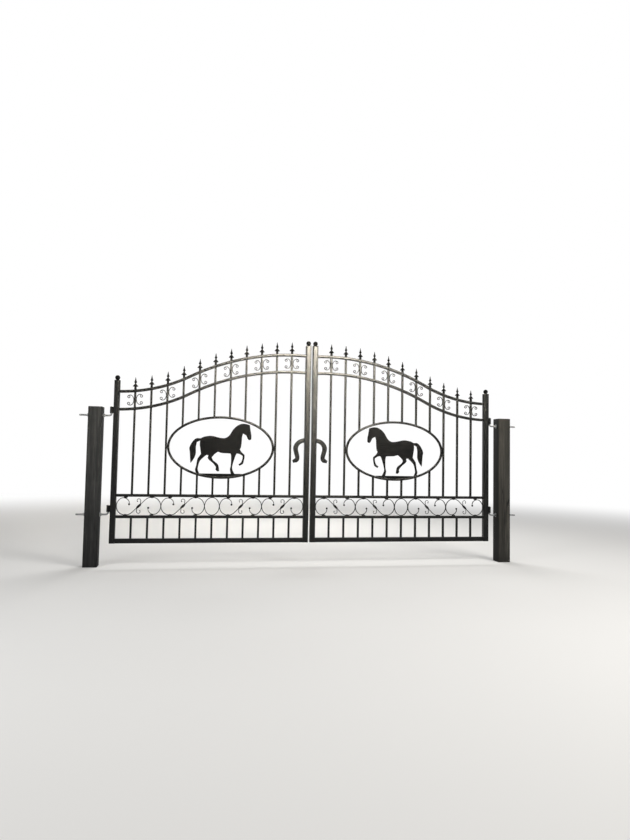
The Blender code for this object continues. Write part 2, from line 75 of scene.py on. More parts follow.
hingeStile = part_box("left_hinge_stile")
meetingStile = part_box("left_meeting_stile")
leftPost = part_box("left_post")
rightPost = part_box("right_post")
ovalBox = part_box("left_oval_ring")
underside = hingeStile[0].z
stileSide = sizeOf(hingeStile)[0]
hingeMid = centreOf(hingeStile)[0]
meetingMid = centreOf(meetingStile)[0]
gateMiddle = (leftPost[0].x + rightPost[1].x) / 2
insideStart = hingeStile[1].x
insideEnd = meetingStile[0].x
insideWidth = insideEnd - insideStart
picketSide = leafSizes["picketSide"]
picketCount = leafSizes["pickets"]
pitch = (insideWidth + picketSide) / (picketCount + 1)
firstPicket = insideStart + pitch - picketSide / 2
archRun = meetingMid - leafSizes["crownToStile"] - hingeMid
archReach = (archRun ** 2 + leafSizes["archRise"] ** 2) / (2 * leafSizes["archRise"])
hollowRadius = leafSizes["archTurnShare"] * archReach
crownRadius = archReach - hollowRadius
archLowZ = underside + leafSizes["archLow"]
crownZ = archLowZ + leafSizes["archRise"]
midRailZ = underside + leafSizes["midRail"]
lowerRailZ = underside + leafSizes["lowerRail"]
bottomZ = underside + leafSizes["bottomRailHeight"] / 2
halfRail = leafSizes["railHeight"] / 2
ovalX, _, ovalZ = centreOf(ovalBox)
ovalWidth, ovalDepth, ovalHeight = sizeOf(ovalBox)
ovalHalfWidth = ovalWidth / 2
ovalHalfHeight = ovalHeight / 2


def archZ(x):
    # height of the upper arch rail's centre
    run = x - hingeMid
    if run < leafSizes["archTurnShare"] * archRun:
        return archLowZ + hollowRadius - math.sqrt(hollowRadius ** 2 - run ** 2)
    return crownZ - crownRadius + math.sqrt(crownRadius ** 2 - (archRun - run) ** 2)


def archSlope(x):
    step = picketSide / 4
    return math.atan2(archZ(x + step) - archZ(x - step), 2 * step)


def picketX(number):
    return firstPicket + (number - 1) * pitch


def endsOnOval(number):
    last = picketCount - 1
    return last - leafSizes["picketsOnOval"] <= number < last


class Wire:
    # a socket used in Python sums: each operator adds a Math node to the socket's tree
    def __init__(self, tree, socket=None):
        self.tree = tree
        self.socket = socket

    def node(self, kind, *inputs, output=0, **named):
        # named values with a capital are inputs too, and those without are the node's settings
        made = self.tree.nodes.new(kind)
        for key, value in named.items():
            if key == "stops":
                fillRamp(made.color_ramp, value)
            elif key[0].islower():
                setattr(made, key, value)
        for index, value in enumerate(inputs):
            self.fill(made.inputs[index], value)
        for key, value in named.items():
            if key[0].isupper():
                self.fill(made.inputs[key.replace("_", " ")], value)
        return Wire(self.tree, made.outputs[output])

    def fill(self, socket, value):
        if isinstance(value, Wire):
            self.tree.links.new(value.socket, socket)
        else:
            socket.default_value = value

    def sum(self, operation, first, second):
        return self.node("ShaderNodeMath", first, second, operation=operation)

    def __add__(self, other):
        return self.sum("ADD", self, other)

    def __radd__(self, other):
        return self.sum("ADD", other, self)

    def __sub__(self, other):
        return self.sum("SUBTRACT", self, other)

    def __rsub__(self, other):
        return self.sum("SUBTRACT", other, self)

    def __mul__(self, other):
        return self.sum("MULTIPLY", self, other)

    def __rmul__(self, other):
        return self.sum("MULTIPLY", other, self)

    def __truediv__(self, other):
        return self.sum("DIVIDE", self, other)

    def __pow__(self, other):
        return self.sum("POWER", self, other)

    def __lt__(self, other):
        return self.sum("LESS_THAN", self, other)

    def fade(self, low, high):
        # 0 below low, 1 above high, and smooth between them
        return self.node(
            "ShaderNodeMapRange",
            Value=self,
            From_Min=low,
            From_Max=high,
            interpolation_type="SMOOTHSTEP",
        )


def fillRamp(ramp, stops):
    while len(ramp.elements) > 1:
        ramp.elements.remove(ramp.elements[-1])
    ramp.elements[0].position = stops[0][0]
    ramp.elements[0].color = (*stops[0][1], 1.0)
    for place, colour in stops[1:]:
        ramp.elements.new(place).color = (*colour, 1.0)


def newFinish(name, constants):
    # the constants go on the shader's own sockets
    finish = bpy.data.materials.new(name)
    finish.use_nodes = True
    shader = finish.node_tree.nodes["Principled BSDF"]
    for label, value in constants.items():
        shader.inputs[label].default_value = value
    place = Wire(finish.node_tree).node("ShaderNodeTexCoord", output="Object")
    return finish, shader, place


def feed(shader, **links):
    for label, wire in links.items():
        wire.tree.links.new(wire.socket, shader.inputs[label.replace("_", " ")])


def noise(place, scale, detail, roughness=0.5):
    # the scale is one number, or one for each axis
    if isinstance(scale, tuple):
        place = place.node("ShaderNodeMapping", Vector=place, Scale=scale)
        scale = 1.0
    return place.node(
        "ShaderNodeTexNoise", Vector=place, Scale=scale, Detail=detail, Roughness=roughness
    )


def mixColour(amount, first, second):
    mixed = amount.node("ShaderNodeMix", amount, data_type="RGBA", output=2)
    for index, tone in ((6, first), (7, second)):
        tone = tone if isinstance(tone, Wire) else (*tone, 1.0)
        mixed.fill(mixed.socket.node.inputs[index], tone)
    return mixed


def bump(height, distance, strength, **under):
    # another bump can lie under this one, as Normal
    values = {"Height": height, "Distance": distance, "Strength": strength}
    return height.node("ShaderNodeBump", **values, **under)


def axisOf(vector, axis):
    return vector.node("ShaderNodeSeparateXYZ", Vector=vector, output=axis)


def facing(place, axis):
    return axisOf(place.node("ShaderNodeNewGeometry", output="Normal"), axis)


# In each look a noise is its scale, detail and roughness, and a pair is a fade's start and end.
paintLook = {
    "shader": {"Specular IOR Level": 0.17, "Coat Weight": 0.05, "Coat Roughness": 0.18},
    "blotch": (7.0, 5.0, 0.6),
    "fine": (60.0, 4.0, 0.65),
    "peel": (420.0, 2.0),
    "black": (0.0034, 0.0037, 0.0041),
    "faded": (0.0080, 0.0080, 0.0078),
    "fading": (0.4, 0.75),
    "dust": (0.15, 0.135, 0.115),
    "dustMost": 0.30,
    "dustFacing": (0.35, 0.95),
    "dustGrain": (0.35, 0.7),
    "splashHeight": (0.2, 0.9),
    "splashGrain": (0.56, 0.74),
    "splashShare": 0.35,
    "gloss": 0.25,
    "peelDepth": 0.00025,
}


def paintedSteel():
    look = paintLook
    finish, shader, place = newFinish("gate_paint", look["shader"])
    blotch, fine, peel = [noise(place, *look[key]) for key in ("blotch", "fine", "peel")]
    up = facing(place, "Z").fade(*look["dustFacing"])
    lowDown = 1.0 - axisOf(place, "Z").fade(*look["splashHeight"])
    settled = up * fine.fade(*look["dustGrain"]) * (0.45 + 0.55 * blotch)
    splash = lowDown * fine.fade(*look["splashGrain"]) * look["splashShare"]
    dust = (settled + splash) * look["dustMost"]
    colour = mixColour(blotch.fade(*look["fading"]), look["black"], look["faded"])
    relief = bump(fine, look["peelDepth"] * 2, 0.3)
    feed(
        shader,
        Base_Color=mixColour(dust, colour, look["dust"]),
        Roughness=look["gloss"] + 0.12 * blotch + 0.10 * fine + 0.9 * dust,
        Normal=bump(peel, look["peelDepth"], 0.35, Normal=relief),
    )
    return finish


castLook = {
    "shader": {"Specular IOR Level": 0.08},
    "blotch": (16.0, 5.0, 0.6),
    "sand": (520.0, 3.0, 0.7),
    "pits": (150.0, 2.0),
    "black": (0.0030, 0.0031, 0.0033),
    "worn": (0.0075, 0.0073, 0.0070),
    "wearing": (0.45, 0.8),
    "dustMost": 0.2,
    "dustFacing": (0.3, 0.95),
    "dustGrain": (0.3, 0.7),
    "roughness": 0.50,
    "grainDepth": 0.0006,
}


def castIron():
    look = castLook
    finish, shader, place = newFinish("cast_fittings", look["shader"])
    blotch, sand, pits = [noise(place, *look[key]) for key in ("blotch", "sand", "pits")]
    up = facing(place, "Z").fade(*look["dustFacing"])
    dust = up * blotch.fade(*look["dustGrain"]) * look["dustMost"]
    colour = mixColour(blotch.fade(*look["wearing"]), look["black"], look["worn"])
    feed(
        shader,
        Base_Color=mixColour(dust, colour, paintLook["dust"]),
        Roughness=look["roughness"] + 0.16 * sand + 0.5 * dust,
        Normal=bump(sand + pits, look["grainDepth"], 0.35),
    )
    return finish


zincLook = {
    "shader": {"Metallic": 0.9},
    "crystals": 260.0,
    "blotch": (55.0, 5.0, 0.7),
    "speck": (700.0, 2.0),
    "bright": (0.40, 0.405, 0.41),
    "dull": (0.21, 0.215, 0.22),
    "bloom": (0.50, 0.50, 0.475),
    "bloomMost": 0.7,
    "blooming": (0.52, 0.72),
    "roughness": 0.26,
    "roughening": (0.45, 0.75),
    "depth": 0.0003,
}


def galvanised():
    look = zincLook
    finish, shader, place = newFinish("hinge_zinc", look["shader"])
    crystal = place.node(
        "ShaderNodeTexVoronoi", Vector=place, Scale=look["crystals"], output="Color"
    )
    crystal = place.node("ShaderNodeSeparateColor", Color=crystal)
    blotch, speck = [noise(place, *look[key]) for key in ("blotch", "speck")]
    colour = mixColour(crystal, look["dull"], look["bright"])
    bloom = blotch.fade(*look["blooming"]) * look["bloomMost"]
    feed(
        shader,
        Base_Color=mixColour(bloom, colour, look["bloom"]),
        Roughness=look["roughness"] + 0.18 * crystal + 0.3 * blotch.fade(*look["roughening"]),
        Normal=bump(blotch + 0.4 * speck, look["depth"], 0.4),
    )
    return finish


timberLook = {
    "shader": {"Specular IOR Level": 0.2},
    # dark, middle and pale tones of each post: the left post's cool, darker tones are painted shade
    # and the right post's warm, lighter ones painted sunlight, on the same timber
    "left": ((0.0051, 0.0053, 0.0055), (0.0178, 0.0183, 0.0183), (0.056, 0.056, 0.054)),
    "right": ((0.0078, 0.0074, 0.0066), (0.0267, 0.0250, 0.0216), (0.074, 0.069, 0.059)),
    "toneStops": (0.34, 0.50, 0.66),
    "wander": ((9.0, 9.0, 1.6), 2.0),
    "broad": ((34.0, 34.0, 1.3), 4.0, 0.6),
    "fibre": ((330.0, 330.0, 7.0), 5.0, 0.7),
    "patch": (3.2, 4.0, 0.55),
    "grainDepth": 0.0016,
    "roughness": 0.72,
    # drying checks along the grain
    "checks": {"Scale": (30.0, 30.0, 1.15), "Location": (0.0, 0.0, 0.31)},
    "check": (0.0035, 0.0034, 0.0033),
    "checkWidth": (0.006, 0.035),
    "checkPlaces": (0.5, 0.6),
    "checkMost": 0.85,
    "checkDepth": 0.006,
    # end grain on the top: how close its rings are, and their pith from each post's left side
    "rings": 620.0,
    "leftPith": 0.075,
    "rightPith": 0.05,
    "pithForward": 0.018,
    "sideShade": 0.72,  # painted shade: how far the faces along the gate, the posts' sides, are darkened to their dark tone
    "dampHeight": (0.05, 0.32),
    "dampMost": 0.5,
}


# grain, checks, end grain and a damp foot for each post, with painted shade on its sides and
# painted light in its tones
def weatheredTimberWithPaintedLight(side, post):
    look = timberLook
    finish, shader, place = newFinish(side + "_timber", look["shader"])
    keys = ("wander", "broad", "fibre", "patch")
    wander, broad, fibre, patch = [noise(place, *look[key]) for key in keys]
    long = place.node("ShaderNodeMapping", Vector=place, **look["checks"])
    edge = place.node(
        "ShaderNodeTexVoronoi", Vector=long, Scale=1.0, Randomness=1.0, feature="DISTANCE_TO_EDGE"
    )
    split = (1.0 - edge.fade(*look["checkWidth"])) * wander.fade(*look["checkPlaces"])
    pith = (-(post[0].x + look[side + "Pith"]), look["pithForward"], 0.0)
    centred = place.node("ShaderNodeMapping", Vector=place, Location=pith, Scale=(1.0, 1.0, 0.0))
    radius = place.node("ShaderNodeVectorMath", centred, operation="LENGTH", output="Value")
    ring = place.node("ShaderNodeMath", radius * look["rings"] + 5.0 * patch, operation="SINE")
    ring = ring * 0.5 + 0.5
    top = facing(place, "Z").fade(0.6, 0.9)
    tone = broad * 0.4 + fibre * 0.42 + patch * 0.18
    tone = tone * (1.0 - top) + (0.22 + 0.3 * ring + 0.2 * fibre) * top
    # each post's own tones: painted shade on the left post, painted sunlight on the right one
    stops = list(zip(look["toneStops"], look[side]))
    colour = place.node("ShaderNodeValToRGB", Fac=tone, stops=stops)
    colour = mixColour(split * look["checkMost"], colour, look["check"])
    low = 1.0 - (axisOf(place, "Z") + 0.12 * patch).fade(*look["dampHeight"])
    # painted shade: the posts' sides, whose normals lie along X, are darkened towards the dark tone
    along = facing(place, "X")
    paintedSideShade = (along * along).fade(0.3, 0.8) * look["sideShade"]
    dark = look[side][0]
    relief = bump(broad + 0.6 * fibre, look["grainDepth"], 0.7)
    feed(
        shader,
        Base_Color=mixColour(low * look["dampMost"], mixColour(paintedSideShade, colour, dark), dark),
        Roughness=look["roughness"] + 0.2 * fibre,
        Normal=bump(1.0 - split, look["checkDepth"], 0.6, Normal=relief),
    )
    return finish


gatePaint = paintedSteel()
castBlack = castIron()
hingeZinc = galvanised()
leftTimberPaintedShade = weatheredTimberWithPaintedLight("left", leftPost)
rightTimberPaintedSunlight = weatheredTimberWithPaintedLight("right", rightPost)
finishes = {"gate_paint": gatePaint, "cast_fittings": castBlack, "hinge_zinc": hingeZinc}
print("finishes made")


def turnsOf(sides):
    return [2 * math.pi * step / sides for step in range(sides)]


def ellipse(x, z, halfWidth, halfHeight, sides):
    turns = turnsOf(sides)
    return [(x + halfWidth * math.cos(turn), z + halfHeight * math.sin(turn)) for turn in turns]


def roundedSection(across, deep, radius, steps=3):
    points = []
    for turn, (signA, signB) in enumerate(((1, 1), (-1, 1), (-1, -1), (1, -1))):
        for step in range(steps + 1):
            angle = math.pi / 2 * (turn + step / steps)
            a = signA * (across / 2 - radius) + radius * math.cos(angle)
            b = signB * (deep / 2 - radius) + radius * math.sin(angle)
            points.append((a, b))
    return points


def joinRings(shape, rings, closed=False):
    # a surface over rings of points, each ring joined to the next
    rings = [[shape.verts.new(point) for point in ring] for ring in rings]
    following = rings[1:] + rings[:1] if closed else rings[1:]
    for first, second in zip(rings, following):
        sides = len(first)
        for corner in range(sides):
            after = (corner + 1) % sides
            shape.faces.new((first[corner], first[after], second[after], second[corner]))
    if not closed:
        shape.faces.new(rings[0][::-1])
        shape.faces.new(rings[-1])


def sweep(shape, line, section, closed=False, sizes=None):
    # carries a section of (across, deep) points along a line of (x, z) points
    count = len(line)
    rings = []
    for index, point in enumerate(line):
        if closed:
            along = Vector(line[(index + 1) % count]) - Vector(line[index - 1])
        else:
            along = Vector(line[min(index + 1, count - 1)]) - Vector(line[max(index - 1, 0)])
        along.normalize()
        size = sizes[index] if sizes else 1.0
        ring = []
        for a, b in section:
            ring.append((point[0] - along.y * a * size, b * size, point[1] + along.x * a * size))
        rings.append(ring)
    joinRings(shape, rings, closed)


def upright(shape, section, x, levels):
    # a standing prism: the section in plan, at each (height, share of its size)
    rings = [[(x + a * share, b * share, z) for a, b in section] for z, share in levels]
    joinRings(shape, rings)


def lathe(shape, profile, x, z, sides, lobes=None, closed=False):
    # a turned piece from (radius, height) points; lobes waves a stretch of the profile
    rings = []
    for index, (radius, height) in enumerate(profile):
        ring = []
        for turn in turnsOf(sides):
            reach = radius * lobes(index, turn) if lobes else radius
            ring.append((x + reach * math.cos(turn), reach * math.sin(turn), z + height))
        rings.append(ring)
    joinRings(shape, rings, closed)


def addBud(shape, place, size, turn=0.0, sides=14):
    # a ball stretched to its size; each pole is a ring of one place, which newMesh merges
    matrix = Matrix.Translation(place) @ Matrix.Rotation(turn, 4, "Y")
    matrix @= Matrix.Diagonal((*size, 1.0))
    rows = sides // 2 + 2
    rings = []
    for row in range(rows + 1):
        slant = math.pi * row / rows
        reach, height = math.sin(slant), math.cos(slant)
        ring = [(reach * math.sin(way), -reach * math.cos(way), height) for way in turnsOf(sides)]
        rings.append([matrix @ Vector(point) for point in ring])
    joinRings(shape, rings)


meshLook = {"merge": 0.000001, "sharpDegrees": 38}


def newMesh(shape):
    bmesh.ops.remove_doubles(shape, verts=shape.verts, dist=meshLook["merge"])
    bmesh.ops.recalc_face_normals(shape, faces=shape.faces)
    mesh = bpy.data.meshes.new("piece")
    shape.to_mesh(mesh)
    shape.free()
    return mesh


def linked(name, data):
    made = bpy.data.objects.new(name, data)
    bpy.context.scene.collection.objects.link(made)
    return made


def show(name, mesh, slotName, body, nodes=(), material=None):
    # the slot's own finish, unless another material is given
    mesh.name = name
    mesh.materials.clear()
    mesh.materials.append(material or finishes[slotName])
    for face in mesh.polygons:
        face.material_index = 0
    mesh.shade_smooth()
    mesh.set_sharp_from_angle(angle=math.radians(meshLook["sharpDegrees"]))
    piece = linked(name, mesh)
    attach(piece, body)
    if nodes:
        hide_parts(*nodes)


def mirrored(mesh):
    copy = mesh.copy()
    copy.transform(Matrix.Translation((2 * gateMiddle, 0.0, 0.0)) @ Matrix.Scale(-1, 4, (1, 0, 0)))
    copy.flip_normals()
    return copy


def showPair(name, mesh, slotName, *nodes, material=None, onPosts=False):
    # the left piece and its mirror image on the right
    twin = mirrored(mesh)
    for side, shape in (("left_", mesh), ("right_", twin)):
        body = "posts" if onPosts else side + "leaf"
        show(side + name, shape, slotName, body, [side + node for node in nodes], material)


# the trees' inputs that aren't plain numbers
inputKinds = {"Geometry": "Geometry", "Material": "Material", "Pattern": "Object", "Count": "Int"}


def openTree(name, *labels):
    tree = bpy.data.node_groups.new(name, "GeometryNodeTree")
    for label in labels:
        kind = "NodeSocket" + inputKinds.get(label, "Float")
        tree.interface.new_socket(label, in_out="INPUT", socket_type=kind)
    tree.interface.new_socket("Geometry", in_out="OUTPUT", socket_type="NodeSocketGeometry")
    entry = tree.nodes.new("NodeGroupInput")
    return Wire(tree), {label: Wire(tree, entry.outputs[label]) for label in labels}


def closeTree(sheet, entry, geometry):
    real = sheet.node("GeometryNodeRealizeInstances", Geometry=geometry)
    dressed = sheet.node("GeometryNodeSetMaterial", Geometry=real, Material=entry["Material"])
    leave = sheet.tree.nodes.new("NodeGroupOutput")
    sheet.tree.links.new(dressed.socket, leave.inputs["Geometry"])
    return sheet.tree


def plainMesh(holder):
    # an object's finished shape as a plain mesh; the object itself goes
    bpy.context.view_layer.update()
    seen = holder.evaluated_get(bpy.context.evaluated_depsgraph_get())
    mesh = bpy.data.meshes.new_from_object(seen)
    bpy.data.objects.remove(holder, do_unlink=True)
    return mesh


def grow(tree, values, start=None):
    # runs a tree once and gives the result as a plain mesh
    holder = linked(tree.name, start or bpy.data.meshes.new(tree.name))
    grower = holder.modifiers.new("grow", "NODES")
    grower.node_group = tree
    for item in tree.interface.items_tree:
        if item.item_type == "SOCKET" and item.in_out == "INPUT" and item.name in values:
            grower[item.identifier] = values[item.name]
    return plainMesh(holder)


def growPattern(tree, mesh, material, values=None, start=None):
    # the same, for a tree that repeats this mesh
    repeated = linked("pattern", mesh)
    grown = grow(tree, {**(values or {}), "Pattern": repeated, "Material": material}, start)
    bpy.data.objects.remove(repeated, do_unlink=True)
    return grown


def pointMesh(places, turns=None):
    mesh = bpy.data.meshes.new("points")
    mesh.from_pydata(places, [], [])
    if turns:
        attribute = mesh.attributes.new("turn", "FLOAT_VECTOR", "POINT")
        for index, turn in enumerate(turns):
            attribute.data[index].vector = turn
    return mesh


def ownTurn(sheet):
    # the turn that each vertex of the start mesh carries
    turn = sheet.node("GeometryNodeInputNamedAttribute", Name="turn", data_type="FLOAT_VECTOR")
    return sheet.node("FunctionNodeEulerToRotation", Euler=turn)


def placed(sheet, points, instance, turn=(0.0, 0.0, 0.0), scale=(1.0, 1.0, 1.0)):
    return sheet.node(
        "GeometryNodeInstanceOnPoints", Points=points, Instance=instance, Rotation=turn, Scale=scale
    )


def circle(sheet, sides, radius):
    return sheet.node("GeometryNodeCurvePrimitiveCircle", Resolution=sides, Radius=radius)


def patternOf(sheet, entry):
    return sheet.node("GeometryNodeObjectInfo", Object=entry["Pattern"], output="Geometry")


def raised(sheet, points, height):
    # the points moved up, each by its own height
    lift = sheet.node("ShaderNodeCombineXYZ", Z=height)
    return sheet.node("GeometryNodeSetPosition", Geometry=points, Offset=lift)


archValues = {
    "Count": picketCount,
    "First": firstPicket,
    "Pitch": pitch,
    "Arch Start": hingeMid,
    "Arch Run": archRun,
    "Arch Low": archLowZ,
    "Crown": crownZ,
    "Hollow Radius": hollowRadius,
    "Crown Radius": crownRadius,
    "Turn Share": leafSizes["archTurnShare"],
}


def archPoints(sheet, entry):
    # one point for each picket, its x and the arch's height over it
    start = sheet.node("ShaderNodeCombineXYZ", X=entry["First"])
    step = sheet.node("ShaderNodeCombineXYZ", X=entry["Pitch"])
    line = sheet.node(
        "GeometryNodeMeshLine", Count=entry["Count"], Start_Location=start, Offset=step
    )
    x = axisOf(sheet.node("GeometryNodeInputPosition"), "X")
    run = x - entry["Arch Start"]
    left = entry["Arch Run"] - run
    hollow = entry["Hollow Radius"]
    crown = entry["Crown Radius"]
    rising = entry["Arch Low"] + hollow - (hollow * hollow - run * run) ** 0.5
    falling = entry["Crown"] - crown + (crown * crown - left * left) ** 0.5
    early = run < entry["Turn Share"] * entry["Arch Run"]
    return line, x, rising * early + falling * (1.0 - early)


def growFinials():
    sheet, entry = openTree("spear finials", *archValues, "Pattern", "Material")
    line, _, height = archPoints(sheet, entry)
    heads = placed(sheet, raised(sheet, line, height), patternOf(sheet, entry))
    return closeTree(sheet, entry, heads)


def growPickets():
    # bars of unit length, each stretched from the mid rail or the oval up to the arch
    numbers = ("Foot", "Above Arch", "Oval X", "Oval Z", "Oval Half Width", "Oval Half Height")
    sheet, entry = openTree("pickets", *archValues, *numbers, "Pattern", "Material")
    line, x, height = archPoints(sheet, entry)
    share = (x - entry["Oval X"]) / entry["Oval Half Width"]
    within = share * share < 1.0
    ovalTop = entry["Oval Z"] + entry["Oval Half Height"] * (within * (1.0 - share * share)) ** 0.5
    foot = entry["Foot"] * (1.0 - within) + ovalTop * within
    scale = sheet.node("ShaderNodeCombineXYZ", X=1.0, Y=1.0, Z=height + entry["Above Arch"] - foot)
    bars = placed(sheet, raised(sheet, line, foot), patternOf(sheet, entry), scale=scale)
    return closeTree(sheet, entry, bars)


def growOnPoints():
    # the pattern on every vertex of the start mesh, turned by the vertex's own turn
    sheet, entry = openTree("pattern on points", "Geometry", "Pattern", "Material")
    made = placed(sheet, entry["Geometry"], patternOf(sheet, entry), ownTurn(sheet))
    return closeTree(sheet, entry, made)


tubeLook = {
    "corner": 0.0035,
    "railCornerShare": 0.8,
    "barCorner": 0.0014,
    "sink": 0.0006,
    "archSteps": 72,
}
tubeStart = insideStart - tubeLook["sink"]
tubeEnd = insideEnd + tubeLook["sink"]
railCorner = tubeLook["corner"] * tubeLook["railCornerShare"]
stileSection = roundedSection(stileSide, stileSide, tubeLook["corner"], 4)
barSection = roundedSection(picketSide, picketSide, tubeLook["barCorner"], 2)


def stileTube(box):
    shape = bmesh.new()
    upright(shape, stileSection, centreOf(box)[0], [(box[0].z, 1.0), (box[1].z, 1.0)])
    return newMesh(shape)


def railTube(shape, line, height=leafSizes["railHeight"]):
    sweep(shape, line, roundedSection(height, leafSizes["railDepth"], railCorner))


def archTube(drop):
    shape = bmesh.new()
    line = []
    for step in range(tubeLook["archSteps"] + 1):
        x = tubeStart + (tubeEnd - tubeStart) * step / tubeLook["archSteps"]
        line.append((x, archZ(x) - drop))
    railTube(shape, line)
    return newMesh(shape)


showPair("hinge_stile_tube", stileTube(hingeStile), "gate_paint", "hinge_stile")
showPair("meeting_stile_tube", stileTube(meetingStile), "gate_paint", "meeting_stile")
showPair("upper_arch_tube", archTube(0.0), "gate_paint", "upper_arch_rail")
showPair("lower_arch_tube", archTube(leafSizes["archSpacing"]), "gate_paint", "lower_arch_rail")

midRail = bmesh.new()
railTube(midRail, [(tubeStart, midRailZ), (tubeEnd, midRailZ)])
footRails = bmesh.new()
railTube(footRails, [(tubeStart, lowerRailZ), (tubeEnd, lowerRailZ)])
railTube(footRails, [(tubeStart, bottomZ), (tubeEnd, bottomZ)], leafSizes["bottomRailHeight"])
for number in range(1, picketCount + 1):
    x = picketX(number)
    upright(footRails, barSection, x, [(bottomZ, 1.0), (lowerRailZ, 1.0)])
    if endsOnOval(number):
        share = (x - ovalX) / ovalHalfWidth
        top = ovalZ - ovalHalfHeight * math.sqrt(1 - share ** 2) + leafSizes["intoOval"]
        upright(midRail, barSection, x, [(midRailZ, 1.0), (top, 1.0)])
showPair("mid_rail_tube", newMesh(midRail), "gate_paint", "mid_rail")
showPair("foot_rails", newMesh(footRails), "gate_paint", "foot_panel")
print("stiles and rails made")


finialSize = {
    "radius": 0.0252,
    "foot": 0.019,  # above the upper rail's centre
    "tip": 0.127,
    "sides": 32,
    "petals": 8,
    "petalDepth": 0.05,
    "petalFrom": 0.5,  # the share of the radius where the petals start
    "socket": 0.0205,
    "socketCorner": 0.002,
    # the socket's heights above the foot, with its size at each
    "socketLevels": ((-0.006, 0.94), (-0.004, 1.0), (0.014, 1.0), (0.019, 0.62), (0.024, 0.5)),
}

# radius and height shares, from the top down
finialProfile = (
    (0.035, 1.000), (0.09, 0.962), (0.15, 0.885), (0.205, 0.808), (0.27, 0.735), (0.37, 0.668),
    (0.465, 0.618), (0.505, 0.582), (0.46, 0.548), (0.34, 0.522), (0.255, 0.502), (0.225, 0.476),
    (0.27, 0.446), (0.40, 0.398), (0.57, 0.347), (0.77, 0.294), (0.94, 0.250), (1.00, 0.226),
    (0.985, 0.206), (0.84, 0.211), (0.55, 0.224), (0.42, 0.208), (0.42, 0.10),
)


def petal(index, turn):
    past = finialProfile[index][0] - finialSize["petalFrom"]
    if past < 0:
        return 1.0
    deep = finialSize["petalDepth"] * past * 2
    return 1.0 - deep * (0.5 - 0.5 * math.cos(finialSize["petals"] * turn))


def finialPattern():
    shape = bmesh.new()
    foot = finialSize["foot"]
    tall = finialSize["tip"] - foot
    profile = [(finialSize["radius"] * r, foot + tall * h) for r, h in finialProfile]
    lathe(shape, profile, 0.0, 0.0, finialSize["sides"], petal)
    side = finialSize["socket"]
    section = roundedSection(side, side, finialSize["socketCorner"], 2)
    upright(shape, section, 0.0, [(foot + up, share) for up, share in finialSize["socketLevels"]])
    return newMesh(shape)


bar = bmesh.new()
upright(bar, barSection, 0.0, [(0.0, 1.0), (1.0, 1.0)])
values = {
    **archValues,
    "Foot": midRailZ,
    "Above Arch": finialSize["foot"],
    "Oval X": ovalX,
    "Oval Z": ovalZ,
    "Oval Half Width": ovalHalfWidth - leafSizes["intoOval"],
    "Oval Half Height": ovalHalfHeight - leafSizes["intoOval"],
}
picketNodes = ["picket_%02d" % number for number in range(1, picketCount + 1)]
grown = growPattern(growPickets(), newMesh(bar), gatePaint, values)
showPair("picket_bars", grown, "gate_paint", *picketNodes)
grown = growPattern(growFinials(), finialPattern(), castBlack, archValues)
showPair("spear_finials", grown, "cast_fittings")
print("pickets and finials made")


def scrollSection(look):
    return roundedSection(look["bar"], look["depth"], look["corner"], 2)


def tapered(look, line):
    # a scroll's size at each point of its line, thinner towards both ends
    last = len(line) - 1
    tip, gain = look["taper"]
    return [min(1.0, tip + gain * min(index, last - index)) for index in range(last + 1)]


cScroll = {
    "height": 0.100,
    "width": 0.062,
    "bar": 0.0066,
    "depth": 0.011,
    "corner": 0.0018,
    "taper": (0.72, 0.04),  # the tip's share and the gain at each step
    "outer": 0.024,
    "drop": 0.016,
    "hook": 0.0112,
    "hookDegrees": 240,
    "hookTightens": 0.22,
    "bud": (0.0036, 0.00414, 0.0036),
    "steps": 8,
    "hookSteps": 10,
    "seat": 0.0015,
    "every": 2,
}


def cScrollLine():
    half = (cScroll["height"] - cScroll["bar"]) / 2
    back = cScroll["width"] - cScroll["bar"] - cScroll["outer"]
    steps = cScroll["steps"]
    turns = [math.pi / 2 * step / steps for step in range(1, steps + 1)]
    upper = [(back * (1 - math.cos(turn)), half * math.sin(turn)) for turn in turns]
    for turn in turns:
        x = back + cScroll["outer"] * math.sin(turn)
        upper.append((x, half - cScroll["drop"] * (1 - math.cos(turn))))
    centre = back + cScroll["outer"] - cScroll["hook"]
    for step in range(1, cScroll["hookSteps"] + 1):
        turn = math.radians(cScroll["hookDegrees"]) * step / cScroll["hookSteps"]
        tight = cScroll["hook"] * (1 - cScroll["hookTightens"] * step / cScroll["hookSteps"])
        x = centre + tight * math.cos(turn)
        upper.append((x, half - cScroll["drop"] - tight * math.sin(turn)))
    return [(x, -z) for x, z in upper[::-1]] + [(0.0, 0.0)] + upper


def cScrollPattern():
    shape = bmesh.new()
    line = cScrollLine()
    sweep(shape, line, scrollSection(cScroll), sizes=tapered(cScroll, line))
    for x, z in (line[0], line[-1]):
        addBud(shape, (x, 0.0, z), cScroll["bud"])
    return newMesh(shape)


scrollPlaces = []
scrollTurns = []
for number in range(1, picketCount + 1, cScroll["every"]):
    for side in (-1, 1):
        x = picketX(number) + side * (picketSide / 2 - cScroll["seat"] + cScroll["bar"] / 2)
        z = archZ(x + side * cScroll["width"] / 2) - leafSizes["archSpacing"] / 2
        scrollPlaces.append((x, 0.0, z))
        scrollTurns.append((0.0, 0.0, 0.0 if side > 0 else math.pi))
patternTree = growOnPoints()
points = pointMesh(scrollPlaces, scrollTurns)
grown = growPattern(patternTree, cScrollPattern(), gatePaint, start=points)
showPair("c_scrolls", grown, "gate_paint")
print("C-scrolls made")


